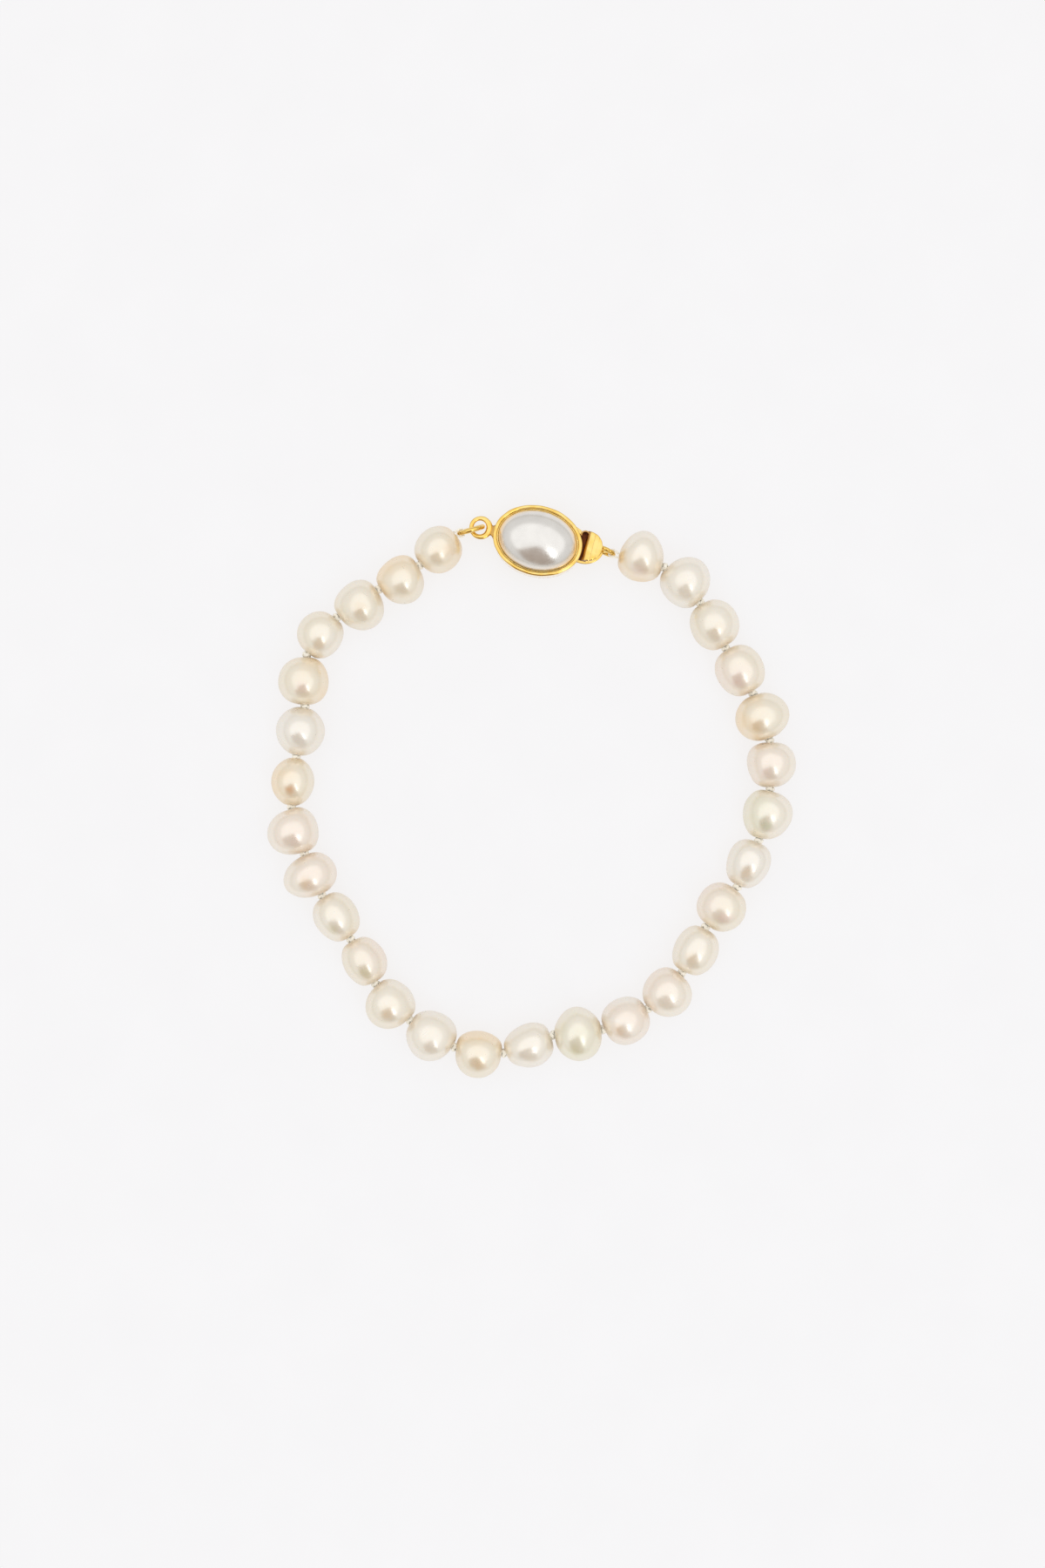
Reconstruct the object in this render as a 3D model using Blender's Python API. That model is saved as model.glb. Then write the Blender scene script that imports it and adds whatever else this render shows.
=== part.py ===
"""Pearl bracelet with an oval box clasp, lying in a loop on a flat surface.

Drilled pearls are knotted one by one on silk. The silk ends in two rings: one is linked into
a flat ring soldered to the clasp's box, the other into the eye of the spring tongue that is
pushed into the box. Metres, +Z up. The origin is on the surface, under the middle of the
bracelet's outline, and +Y points from there towards the clasp.
"""
import math

import bmesh
import bpy
import numpy as np
from mathutils import Matrix, Vector

MM = 0.001

# Pearls and silk
PEARL_SIZE = 5.8 * MM            # an ordinary pearl of this string, across
DRILL_DIAMETER = 1.0 * MM
THREAD_DIAMETER = 0.30 * MM
KNOT_SPACE = 0.50 * MM           # between the mouths of two neighbours
KNOT_DIAMETER = 0.9 * MM
PEARL_SIDES = 14                 # around the drill hole
PEARL_ROWS = 9                   # from mouth to mouth
THREAD_SIDES = 6

# Clasp box, a low oval drum of gold sheet with a bezel on top
BOX_LENGTH = 10.9 * MM
BOX_WIDTH = 8.4 * MM
BOX_HEIGHT = 2.6 * MM            # up to the floor of the bezel
SHEET = 0.35 * MM
RIM_HEIGHT = 0.9 * MM            # above the floor of the bezel
RIM_WIDTH = 0.47 * MM
OVAL_SIDES = 32

# Flat ring soldered to the box's left end
LUG_DIAMETER = 2.8 * MM
LUG_WIRE = 0.47 * MM
LUG_STANDOFF = 0.25 * MM
SOLDER_WIDTH = 2.1 * MM
SOLDER_HEIGHT = 0.42 * MM

# Cabochon
STONE_CLEARANCE = 0.12 * MM
STONE_SINK = 0.25 * MM           # its widest line lies this far below the rim's top
DOME_HEIGHT = 2.35 * MM
DOME_ROWS = 6

# Spring tongue
LEAF = 0.35 * MM                 # thickness of the folded sheet
LEAF_GAP = 0.25 * MM
LEAF_WIDTH = 3.3 * MM
LEAF_REACH = 8.0 * MM            # inwards from the box's right end
TONGUE_OFFSET = 0.95 * MM        # the tongue's own middle line lies this far off the box's
PLATE_WIDTH = 4.3 * MM
PLATE_STRAIGHT = 0.15 * MM       # straight stretch of the end plate, past the box's right end
PLATE_NOSE = 2.45 * MM           # length of its rounded end
PLATE_SHOULDER = 1.6 * MM        # the plate widens this far inside the box's right end
EYE_DIAMETER = 0.94 * MM
EYE_MARGIN = 0.30 * MM           # metal left between the eye and the plate's end
EYE_OFFSET = 0.20 * MM
SLOT_CLEARANCE = 0.12 * MM

# Ribbed thumb tab, folded up from the upper leaf
TAB_WIDTH = 3.75 * MM
TAB_LENGTH = 1.75 * MM
TAB_GAP = 0.60 * MM              # between the box's right end and the tab
TAB_CLEARANCE = 0.12 * MM        # over the ring below it
RIBS = 4
RIB_HEIGHT = 0.16 * MM
RIB_STEPS = 4

# Rings of the silk's two ends
JUMP_DIAMETER = 3.48 * MM
JUMP_WIRE = 0.55 * MM
JUMP_LIFT = 0.15 * MM
JUMP_SLACK = 0.08 * MM
JUMP_HEADING = math.radians(210)
TONGUE_RING_DIAMETER = 2.6 * MM
TONGUE_RING_WIRE = 0.50 * MM
TONGUE_RING_LIFT = 0.06 * MM
TONGUE_RING_HEADING = math.radians(-10)
RING_LEAN = math.radians(7)      # off the upright
CATCH_ANGLE = math.radians(30)   # the silk sits this far above a ring's outermost point
LEFT_END_SPACE = 0.32 * MM       # between the jump ring and the last pearl's mouth
RIGHT_END_SPACE = 0.45 * MM      # between the tongue ring and the first pearl's mouth
LOOP_CLEARANCE = 0.05 * MM       # between the silk's loop and the ring's wire
LOOP_STEPS = 8
DOUBLED_OFFSET = 0.17 * MM       # the silk is doubled in an end pearl, this far off its middle
DOUBLED_DEPTH = 1.2 * MM
RING_SIDES = 20
WIRE_SIDES = 6

# The string's route as it lies, seen from above: its two ends and its knots, clockwise from the
# clasp's right side, in millimetres. It is scaled to the length that the pearls take up.
ROUTE = (
    (10.6, 28.2), (16.1, 26.9), (20.5, 22.7), (23.6, 17.3), (26.9, 11.8), (28.9, 6.1),
    (29.0, 0.3), (27.7, -5.8), (25.1, -11.7), (21.4, -16.3), (18.5, -22.0), (14.4, -26.4),
    (9.0, -28.9), (2.9, -29.5), (-3.1, -31.7), (-9.1, -30.9), (-14.4, -27.7), (-18.5, -23.3),
    (-21.5, -17.9), (-25.0, -12.6), (-27.1, -7.6), (-28.7, -1.9), (-28.1, 4.1), (-27.0, 10.2),
    (-26.8, 16.2), (-23.1, 20.8), (-18.1, 24.2), (-13.2, 27.1), (-8.8, 30.9),
)
ROUTE_STEPS = 24                 # samples of the curve between two points of the route

# One row for each pearl, clockwise from the clasp's right side.
# along, across, height: shares of PEARL_SIZE along the hole, across it, and upright
# out: the body's shift off the hole towards the outside of the loop, a share of its half width
# taper: narrower towards the next pearl; point: narrower to the outside, or if negative inside
# blunt: fuller ends, or if negative a lemon's; knot: the space after it, a share of KNOT_SPACE
PEARL_COLUMNS = ("along", "across", "height", "out", "taper", "point", "blunt", "knot")
PEARLS = (
    (0.92, 1.06, 1.02, 0.18, 0.00, 0.30, 0.00, 1.20),
    (0.97, 1.06, 1.00, 0.18, 0.00, 0.00, 0.00, 0.90),
    (1.00, 1.02, 0.98, 0.05, -0.04, 0.00, 0.00, 1.00),
    (1.01, 1.01, 0.97, 0.01, 0.00, 0.00, 0.10, 1.05),
    (0.95, 1.13, 1.02, 0.02, -0.04, 0.15, 0.00, 1.00),
    (0.93, 1.02, 0.96, 0.07, 0.10, 0.00, 0.05, 0.95),
    (1.00, 1.02, 0.99, 0.12, 0.12, 0.00, 0.00, 1.15),
    (0.98, 0.90, 0.92, 0.00, 0.10, 0.00, 0.05, 1.25),
    (0.94, 1.03, 0.98, 0.00, 0.00, 0.00, 0.05, 1.10),
    (0.99, 0.92, 0.93, 0.10, 0.00, 0.00, 0.10, 1.10),
    (0.95, 1.03, 0.97, 0.09, 0.05, 0.00, 0.00, 0.95),
    (0.96, 0.98, 0.96, 0.03, -0.03, 0.00, 0.05, 0.90),
    (0.97, 1.13, 1.02, 0.05, 0.00, -0.30, 0.00, 1.10),
    (0.99, 0.91, 0.93, 0.08, 0.08, 0.00, 0.10, 1.15),
    (0.95, 0.98, 0.97, 0.18, 0.00, 0.00, 0.05, 1.00),
    (1.00, 1.05, 1.00, 0.10, 0.05, 0.00, 0.00, 0.90),
    (0.96, 1.04, 0.98, 0.17, 0.00, 0.00, 0.00, 0.95),
    (0.97, 0.90, 0.92, -0.04, 0.00, 0.00, 0.05, 1.20),
    (0.99, 0.91, 0.94, 0.00, -0.05, 0.00, 0.05, 1.00),
    (0.87, 1.13, 1.00, 0.13, 0.00, 0.10, 0.00, 0.75),
    (0.94, 1.08, 0.99, 0.20, 0.00, 0.00, 0.00, 0.90),
    (0.98, 0.90, 0.92, 0.02, 0.00, 0.00, -0.25, 0.90),
    (0.99, 1.02, 0.97, 0.00, 0.00, 0.00, -0.20, 0.80),
    (0.98, 1.04, 0.99, 0.08, 0.04, 0.00, 0.00, 1.25),
    (0.92, 0.95, 0.94, 0.10, 0.00, 0.00, 0.00, 1.05),
    (0.95, 1.05, 0.99, -0.16, -0.06, 0.00, 0.00, 0.95),
    (0.91, 1.00, 0.96, -0.18, -0.10, 0.00, 0.05, 0.95),
    (0.94, 0.96, 0.95, -0.06, 0.00, 0.00, 0.00, 1.00),
)

# Colour, roughness, metallic
GOLD = ((0.83, 0.60, 0.20), 0.28, 1.0)
NACRE = ((0.90, 0.86, 0.79), 0.32, 0.0)
SILVER_NACRE = ((0.80, 0.80, 0.79), 0.25, 0.0)
SILK = ((0.93, 0.90, 0.82), 0.85, 0.0)

# Sizes that follow from the ones above
BOX_END = BOX_LENGTH / 2
BOX_SIDE = BOX_WIDTH / 2
CAVITY_TOP = BOX_HEIGHT - SHEET
RIM_TOP = BOX_HEIGHT + RIM_HEIGHT
MID_CAVITY = (SHEET + CAVITY_TOP) / 2
PLATE_TOP = MID_CAVITY - LEAF_GAP / 2
PLATE_BOTTOM = PLATE_TOP - LEAF
LEAF_BOTTOM = MID_CAVITY + LEAF_GAP / 2
LEAF_TOP = LEAF_BOTTOM + LEAF
PLATE_END = BOX_END + PLATE_STRAIGHT + PLATE_NOSE
TONGUE_RING_MID = (TONGUE_RING_DIAMETER - TONGUE_RING_WIRE) / 2
TONGUE_RING_Z = TONGUE_RING_LIFT + TONGUE_RING_DIAMETER / 2
JUMP_MID = (JUMP_DIAMETER - JUMP_WIRE) / 2
LUG_MID = (LUG_DIAMETER - LUG_WIRE) / 2
TAB_BOTTOM = TONGUE_RING_LIFT + TONGUE_RING_DIAMETER + TAB_CLEARANCE
TAB_START = BOX_END + TAB_GAP


def clear_scene():
    for obj in list(bpy.data.objects):
        bpy.data.objects.remove(obj, do_unlink=True)


def material(name, finish):
    colour, roughness, metallic = finish
    mat = bpy.data.materials.new(name)
    mat.use_nodes = True
    shader = mat.node_tree.nodes["Principled BSDF"]
    shader.inputs["Base Color"].default_value = (*colour, 1.0)
    shader.inputs["Roughness"].default_value = roughness
    shader.inputs["Metallic"].default_value = metallic
    return mat


def add_object(name, mesh, finish, parent):
    """Link a mesh as a named sub-part with a material of its own."""
    obj = bpy.data.objects.new(name, mesh)
    mesh.materials.append(material(name + "_finish", finish))
    obj.parent = parent
    bpy.context.scene.collection.objects.link(obj)
    return obj


def add_guide(name, mesh, parent):
    """Link a mesh that only shapes another one."""
    obj = bpy.data.objects.new(name, mesh)
    obj.hide_render = True
    obj.display_type = "WIRE"
    obj.parent = parent
    bpy.context.scene.collection.objects.link(obj)
    return obj


def boolean(obj, guide, operation):
    modifier = obj.modifiers.new(operation.lower() + "_" + guide.name, "BOOLEAN")
    modifier.operation = operation
    modifier.solver = "EXACT"
    modifier.object = guide


def mesh_from(name, verts, faces, smooth_angle=40):
    """Closed mesh from vertices and faces, with its faces turned outwards."""
    shell = bmesh.new()
    points = [shell.verts.new(Vector(v)) for v in verts]
    for face in faces:
        shell.faces.new([points[i] for i in face])
    bmesh.ops.recalc_face_normals(shell, faces=shell.faces)
    mesh = bpy.data.meshes.new(name)
    shell.to_mesh(mesh)
    shell.free()
    mesh.shade_smooth()
    mesh.set_sharp_from_angle(angle=math.radians(smooth_angle))
    return mesh


def prism(name, outline, bottom, top):
    """Upright prism over an outline in X and Y."""
    count = len(outline)
    verts = [(x, y, z) for z in (bottom, top) for x, y in outline]
    faces = [tuple(range(count)), tuple(range(count, 2 * count))]
    faces += [(i, (i + 1) % count, count + (i + 1) % count, count + i) for i in range(count)]
    return mesh_from(name, verts, faces)


def side_prism(name, profile, middle, width):
    """Prism over a profile in X and Z, of this width about the line y = middle."""
    count = len(profile)
    verts = [(x, y, z) for y in (middle - width / 2, middle + width / 2) for x, z in profile]
    faces = [tuple(range(count)), tuple(range(count, 2 * count))]
    faces += [(i, (i + 1) % count, count + (i + 1) % count, count + i) for i in range(count)]
    return mesh_from(name, verts, faces)


def ring_mesh(name, mid_radius, wire_radius):
    """Closed ring of round wire about the Z axis."""
    verts = []
    for i in range(RING_SIDES):
        turn = 2 * math.pi * i / RING_SIDES
        for j in range(WIRE_SIDES):
            around = 2 * math.pi * j / WIRE_SIDES
            radius = mid_radius + wire_radius * math.cos(around)
            verts.append((radius * math.cos(turn), radius * math.sin(turn),
                          wire_radius * math.sin(around)))
    faces = grid_faces(RING_SIDES, WIRE_SIDES, closed_rows=True)
    return mesh_from(name, verts, faces, smooth_angle=80)


def grid_faces(rows, sides, closed_rows=False):
    """Quads of a tube whose rings of vertices follow one another."""
    faces = []
    for row in range(rows if closed_rows else rows - 1):
        after = (row + 1) % rows
        for side in range(sides):
            beside = (side + 1) % sides
            faces.append((row * sides + side, row * sides + beside,
                          after * sides + beside, after * sides + side))
    return faces


def oval(half_length, half_width, sides=OVAL_SIDES):
    return [(half_length * math.cos(2 * math.pi * i / sides),
             half_width * math.sin(2 * math.pi * i / sides)) for i in range(sides)]


def half_oval(start, length, middle, width, sides=OVAL_SIDES // 2):
    """Rounded end: half an oval that bulges towards +X from x = start."""
    points = []
    for i in range(sides + 1):
        turn = math.pi * (i / sides - 0.5)
        points.append((start + length * math.cos(turn), middle + width / 2 * math.sin(turn)))
    return points


def smooth_loop(points):
    """Closed centripetal Catmull-Rom curve through the points."""
    curve = []
    count = len(points)
    for i in range(count):
        near = [np.array(points[(i + step) % count], float) for step in (-1, 0, 1, 2)]
        times = [0.0]
        for a, b in zip(near, near[1:]):
            times.append(times[-1] + math.sqrt(np.linalg.norm(b - a)))
        for t in np.linspace(times[1], times[2], ROUTE_STEPS, endpoint=False):
            ones = [mix(near[j], near[j + 1], times[j], times[j + 1], t) for j in range(3)]
            twos = [mix(ones[j], ones[j + 1], times[j], times[j + 2], t) for j in range(2)]
            curve.append(mix(twos[0], twos[1], times[1], times[2], t))
    return np.array(curve)


def mix(first, second, low, high, t):
    """Point between two others, as t goes from low to high."""
    return ((high - t) * first + (t - low) * second) / (high - low)


class Route:
    """The closed curve that the string and the clasp lie on, at a chosen scale."""

    def __init__(self):
        curve = smooth_loop(ROUTE) * MM
        self.closed = np.vstack([curve, curve[:1]])
        steps = np.linalg.norm(np.diff(self.closed, axis=0), axis=1)
        self.arc = np.concatenate([[0.0], np.cumsum(steps)])
        self.total = self.arc[-1]
        last_point = self.arc[(len(ROUTE) - 1) * ROUTE_STEPS]
        self.clasp_middle = (last_point + self.total) / 2
        self.scale = 1.0

    def at(self, distance):
        """Point at this distance along the scaled curve from the clasp's middle."""
        arc = (self.clasp_middle + distance / self.scale) % self.total
        x = np.interp(arc, self.arc, self.closed[:, 0])
        y = np.interp(arc, self.arc, self.closed[:, 1])
        return np.array([x, y]) * self.scale

    def fit(self, string_length, clasp_length):
        """Choose the scale at which the clasp just closes the string."""
        low = string_length / self.total
        high = (string_length + 3 * clasp_length) / self.total
        for _ in range(60):
            self.scale = (low + high) / 2
            half_gap = (self.total * self.scale - string_length) / 2
            if np.linalg.norm(self.at(half_gap) - self.at(-half_gap)) < clasp_length:
                low = self.scale
            else:
                high = self.scale
        return half_gap


def pearl_points(row):
    """Rings of vertices of one pearl, about its hole along X; +Y is the loop's outside."""
    drill = DRILL_DIAMETER / 2
    half_along = row["along"] * PEARL_SIZE / 2
    half_across = row["across"] * PEARL_SIZE / 2
    half_height = row["height"] * PEARL_SIZE / 2
    verts = []
    for k in range(PEARL_ROWS):
        turn = math.pi * k / (PEARL_ROWS - 1)
        swell = math.sin(turn) if 0 < k < PEARL_ROWS - 1 else 0.0
        lean = 1 + row["taper"] * math.cos(turn)
        for j in range(PEARL_SIDES):
            around = 2 * math.pi * j / PEARL_SIDES - math.pi / 2
            side = math.cos(around)
            sharp = abs(row["point"] * side) if row["point"] * side > 0 else 0.0
            body = lean * swell ** (1 - row["blunt"] + sharp)
            y = side * (drill + (half_across - drill) * body) + row["out"] * half_across * swell
            z = math.sin(around) * (drill + (half_height - drill) * body)
            verts.append((-half_along * math.cos(turn), y, z))
    return verts


def pearl_mesh(name, verts):
    """Body and bore: the bore's wall joins the rings at the two mouths."""
    faces = grid_faces(PEARL_ROWS, PEARL_SIDES, closed_rows=True)
    return mesh_from(name, verts, faces, smooth_angle=50)


def pearl_table():
    return [dict(zip(PEARL_COLUMNS, values)) for values in PEARLS]


def string_frames(route, half_gap, end_heights):
    """Place each pearl on the route, resting on the surface, and return its frame.

    Each pearl tips towards its neighbours' heights, and the end ones half way to their rings.
    """
    rows = pearl_table()
    here = half_gap
    spans = []
    for row in rows:
        length = row["along"] * PEARL_SIZE
        spans.append((route.at(here), route.at(here + length)))
        here += length + row["knot"] * KNOT_SPACE
    middles = [(a + b) / 2 for a, b in spans]
    heights = [row["height"] * PEARL_SIZE / 2 for row in rows]
    chain_xy = [spans[0][0], *middles, spans[-1][1]]
    chain_z = [(end_heights[0] + heights[0]) / 2, *heights, (end_heights[1] + heights[-1]) / 2]
    frames = []
    for i, row in enumerate(rows):
        run = np.linalg.norm(chain_xy[i + 2] - chain_xy[i + 1])
        run += np.linalg.norm(chain_xy[i + 1] - chain_xy[i])
        slope = (chain_z[i + 2] - chain_z[i]) / run
        heading = spans[i][1] - spans[i][0]
        forward = Vector((*heading, slope * np.linalg.norm(heading))).normalized()
        outside = Vector((-heading[1], heading[0], 0.0)).normalized()
        up = forward.cross(outside)
        turn = Matrix((forward, outside, up)).transposed()
        verts = pearl_points(row)
        lowest = min((turn @ Vector(v)).z for v in verts)
        frame = turn.to_4x4()
        frame.translation = Vector((*middles[i], -lowest))
        frames.append((row, verts, frame))
    return frames


def string_length():
    rows = pearl_table()
    pearls = sum(row["along"] * PEARL_SIZE for row in rows)
    return pearls + sum(row["knot"] * KNOT_SPACE for row in rows[:-1])


def ring_frame(centre_xy, centre_z, heading):
    """Frame of a ring that stands nearly upright: X points outwards, Z is the ring's axis."""
    outwards = Vector((math.cos(heading), math.sin(heading), 0.0))
    sideways = Vector((-math.sin(heading), math.cos(heading), 0.0))
    up = math.cos(RING_LEAN) * Vector((0, 0, 1)) + math.sin(RING_LEAN) * sideways
    frame = Matrix((outwards, up, outwards.cross(up))).transposed().to_4x4()
    frame.translation = Vector((*centre_xy, centre_z))
    return frame


def jump_ring_frame():
    """The jump ring hangs in the soldered ring, whose wire passes near its middle."""
    reach = LUG_MID + JUMP_SLACK
    lug_x = -(BOX_END + LUG_STANDOFF + LUG_DIAMETER / 2)
    centre = (lug_x + reach * math.cos(JUMP_HEADING), reach * math.sin(JUMP_HEADING))
    return ring_frame(centre, JUMP_LIFT + JUMP_DIAMETER / 2, JUMP_HEADING)


def eye_centre():
    return (PLATE_END - EYE_MARGIN - EYE_DIAMETER / 2, TONGUE_OFFSET + EYE_OFFSET)


def tongue_ring_frame():
    """The tongue ring's wire goes down through the middle of the eye."""
    drop = TONGUE_RING_Z - (PLATE_BOTTOM + PLATE_TOP) / 2
    reach = math.sqrt(TONGUE_RING_MID ** 2 - drop ** 2)
    eye = eye_centre()
    centre = (eye[0] + reach * math.cos(TONGUE_RING_HEADING),
              eye[1] + reach * math.sin(TONGUE_RING_HEADING))
    return ring_frame(centre, TONGUE_RING_Z, TONGUE_RING_HEADING)


def facing_mouths():
    """Places, seen from above, of the two pearls' mouths that the clasp's rings face."""
    left = jump_ring_frame() @ Vector((JUMP_DIAMETER / 2 + LEFT_END_SPACE, 0, 0))
    right = tongue_ring_frame() @ Vector((TONGUE_RING_DIAMETER / 2 + RIGHT_END_SPACE, 0, 0))
    return left.to_2d(), right.to_2d()


def silk_catch(frame, mid_radius):
    """Point of the ring's wire that the silk goes round, and the wire's outward direction."""
    outward = Vector((math.cos(CATCH_ANGLE), math.sin(CATCH_ANGLE), 0.0))
    return frame @ (outward * mid_radius), frame.to_3x3() @ outward


def make_box(parent):
    """Oval drum, hollow below for the tongue and open above for the stone."""
    box = add_object("clasp_box", prism("clasp_box", oval(BOX_END, BOX_SIDE), 0, RIM_TOP),
                     GOLD, parent)
    cavity = prism("cavity", oval(BOX_END - SHEET, BOX_SIDE - SHEET), SHEET, CAVITY_TOP)
    boolean(box, add_guide("cavity", cavity, parent), "DIFFERENCE")
    above = RIM_TOP + RIM_HEIGHT
    bezel = prism("bezel", oval(BOX_END - RIM_WIDTH, BOX_SIDE - RIM_WIDTH), BOX_HEIGHT, above)
    boolean(box, add_guide("bezel", bezel, parent), "DIFFERENCE")

    low_side = TONGUE_OFFSET - PLATE_WIDTH / 2 - SLOT_CLEARANCE
    high_side = TONGUE_OFFSET + PLATE_WIDTH / 2 + SLOT_CLEARANCE
    inside = BOX_END - PLATE_SHOULDER - 3 * SLOT_CLEARANCE
    slot = prism("slot", [(inside, low_side), (TAB_START, low_side),
                          (TAB_START, high_side), (inside, high_side)],
                 PLATE_BOTTOM - SLOT_CLEARANCE, LEAF_TOP + SLOT_CLEARANCE)
    boolean(box, add_guide("slot", slot, parent), "DIFFERENCE")

    lug = add_guide("lug", ring_mesh("lug", LUG_MID, LUG_WIRE / 2), parent)
    lug.location = (-(BOX_END + LUG_STANDOFF + LUG_DIAMETER / 2), 0, BOX_HEIGHT / 2)
    boolean(box, lug, "UNION")
    inner = -(BOX_END - SHEET / 2)
    outer = -(BOX_END + LUG_STANDOFF + LUG_WIRE / 2)
    solder = prism("solder", [(inner, -SOLDER_WIDTH / 2), (inner, SOLDER_WIDTH / 2),
                              (outer, SOLDER_WIDTH / 3), (outer, -SOLDER_WIDTH / 3)],
                   (BOX_HEIGHT - SOLDER_HEIGHT) / 2, (BOX_HEIGHT + SOLDER_HEIGHT) / 2)
    boolean(box, add_guide("solder", solder, parent), "UNION")
    return box


def make_cabochon(parent):
    """Dome on a short straight girdle, with a flat back."""
    half_length = BOX_END - RIM_WIDTH - STONE_CLEARANCE
    half_width = BOX_SIDE - RIM_WIDTH - STONE_CLEARANCE
    bottom = BOX_HEIGHT + STONE_CLEARANCE
    girdle = RIM_TOP - STONE_SINK
    sides = OVAL_SIDES - 4
    verts = [(x, y, bottom) for x, y in oval(half_length, half_width, sides)]
    for row in range(DOME_ROWS):
        rise = math.pi / 2 * row / DOME_ROWS
        share = math.cos(rise)
        verts += [(x, y, girdle + DOME_HEIGHT * math.sin(rise))
                  for x, y in oval(half_length * share, half_width * share, sides)]
    verts.append((0, 0, girdle + DOME_HEIGHT))
    crown = len(verts) - 1
    faces = grid_faces(DOME_ROWS + 1, sides) + [tuple(range(sides))]
    faces += [(crown - sides + i, crown - sides + (i + 1) % sides, crown) for i in range(sides)]
    return add_object("cabochon", mesh_from("cabochon", verts, faces), SILVER_NACRE, parent)


def make_tongue(parent):
    """Hairpin of sheet: a plate with the eye below, a springy leaf and its thumb tab above."""
    inner = BOX_END - LEAF_REACH
    shoulder = BOX_END - PLATE_SHOULDER
    outline = half_oval(BOX_END + PLATE_STRAIGHT, PLATE_NOSE, TONGUE_OFFSET, PLATE_WIDTH)
    outline += [(shoulder, TONGUE_OFFSET + PLATE_WIDTH / 2), (shoulder, TONGUE_OFFSET + LEAF_WIDTH / 2),
                (inner, TONGUE_OFFSET + LEAF_WIDTH / 2), (inner, TONGUE_OFFSET - LEAF_WIDTH / 2),
                (shoulder, TONGUE_OFFSET - LEAF_WIDTH / 2), (shoulder, TONGUE_OFFSET - PLATE_WIDTH / 2)]
    tongue = add_object("tongue", prism("tongue", outline, PLATE_BOTTOM, PLATE_TOP), GOLD, parent)

    eye = prism("eye", [(eye_centre()[0] + x, eye_centre()[1] + y)
                        for x, y in oval(EYE_DIAMETER / 2, EYE_DIAMETER / 2, 12)],
                PLATE_BOTTOM - LEAF, PLATE_TOP + LEAF)
    boolean(tongue, add_guide("eye", eye, parent), "DIFFERENCE")

    sunk = LEAF / 4
    leaf_profile = [
        (inner + sunk, PLATE_BOTTOM + sunk), (inner + sunk, LEAF_TOP),
        (TAB_START + sunk, LEAF_TOP), (TAB_START + sunk, TAB_BOTTOM + LEAF / 2),
        (TAB_START + sunk + LEAF, TAB_BOTTOM + LEAF / 2), (TAB_START + sunk + LEAF, LEAF_BOTTOM),
        (inner + LEAF, LEAF_BOTTOM), (inner + LEAF, PLATE_BOTTOM + sunk)]
    leaf = side_prism("leaf", leaf_profile, TONGUE_OFFSET, LEAF_WIDTH - 2 * sunk)
    boolean(tongue, add_guide("leaf", leaf, parent), "UNION")

    tab = add_guide("tab", side_prism("tab", tab_profile(), TONGUE_OFFSET, TAB_WIDTH), parent)
    nose = prism("tab_nose", half_oval(TAB_START - sunk, TAB_LENGTH + sunk, TONGUE_OFFSET,
                                       TAB_WIDTH * 1.05),
                 TAB_BOTTOM - LEAF, TAB_BOTTOM + 3 * LEAF)
    boolean(tab, add_guide("tab_nose", nose, parent), "INTERSECT")
    boolean(tongue, tab, "UNION")
    return tongue


def tab_profile():
    """Side view of the tab: a flat underside and round ribs on top."""
    profile = [(TAB_START, TAB_BOTTOM)]
    pitch = TAB_LENGTH / RIBS
    for rib in range(RIBS):
        for i in range(RIB_STEPS):
            share = i / RIB_STEPS
            profile.append((TAB_START + pitch * (rib + share),
                            TAB_BOTTOM + LEAF + RIB_HEIGHT * math.sin(math.pi * share)))
    profile.append((TAB_START + TAB_LENGTH, TAB_BOTTOM + LEAF))
    profile.append((TAB_START + TAB_LENGTH, TAB_BOTTOM))
    return profile


def make_rings(parent):
    for name, frame, mid_radius, wire in (
            ("jump_ring", jump_ring_frame(), JUMP_MID, JUMP_WIRE),
            ("tongue_ring", tongue_ring_frame(), TONGUE_RING_MID, TONGUE_RING_WIRE)):
        ring = add_object(name, ring_mesh(name, mid_radius, wire / 2), GOLD, parent)
        ring.matrix_local = frame


def make_clasp(parent):
    """All of the clasp about the middle of its box, in an empty of its own."""
    clasp = bpy.data.objects.new("clasp", None)
    clasp.parent = parent
    bpy.context.scene.collection.objects.link(clasp)
    make_box(clasp)
    make_cabochon(clasp)
    make_tongue(clasp)
    make_rings(clasp)
    return clasp


def clasp_frame(left_mouth, right_mouth):
    """Turn and place the clasp so that its two rings face the string's two end mouths."""
    left, right = facing_mouths()
    own = right - left
    world = Vector(right_mouth) - Vector(left_mouth)
    angle = math.atan2(world.y, world.x) - math.atan2(own.y, own.x)
    turn = Matrix.Rotation(angle, 4, "Z")
    middle = (Vector(left_mouth) + Vector(right_mouth)) / 2
    own_middle = turn.to_2x2() @ ((left + right) / 2)
    return Matrix.Translation((*(middle - own_middle), 0)) @ turn


def end_loop(mouth, inwards, catch, outward, across, wire):
    """Path of the silk out of a pearl, round a ring's wire and back beside itself."""
    bend = wire / 2 + THREAD_DIAMETER / 2 + LOOP_CLEARANCE
    deep = mouth + inwards * DOUBLED_DEPTH
    beside = across * DOUBLED_OFFSET
    path = [deep - beside, mouth - beside]
    for i in range(LOOP_STEPS + 1):
        turn = math.pi * i / LOOP_STEPS
        path.append(catch - across * bend * math.cos(turn) - outward * bend * math.sin(turn))
    return path + [mouth + beside, deep + beside]


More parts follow.
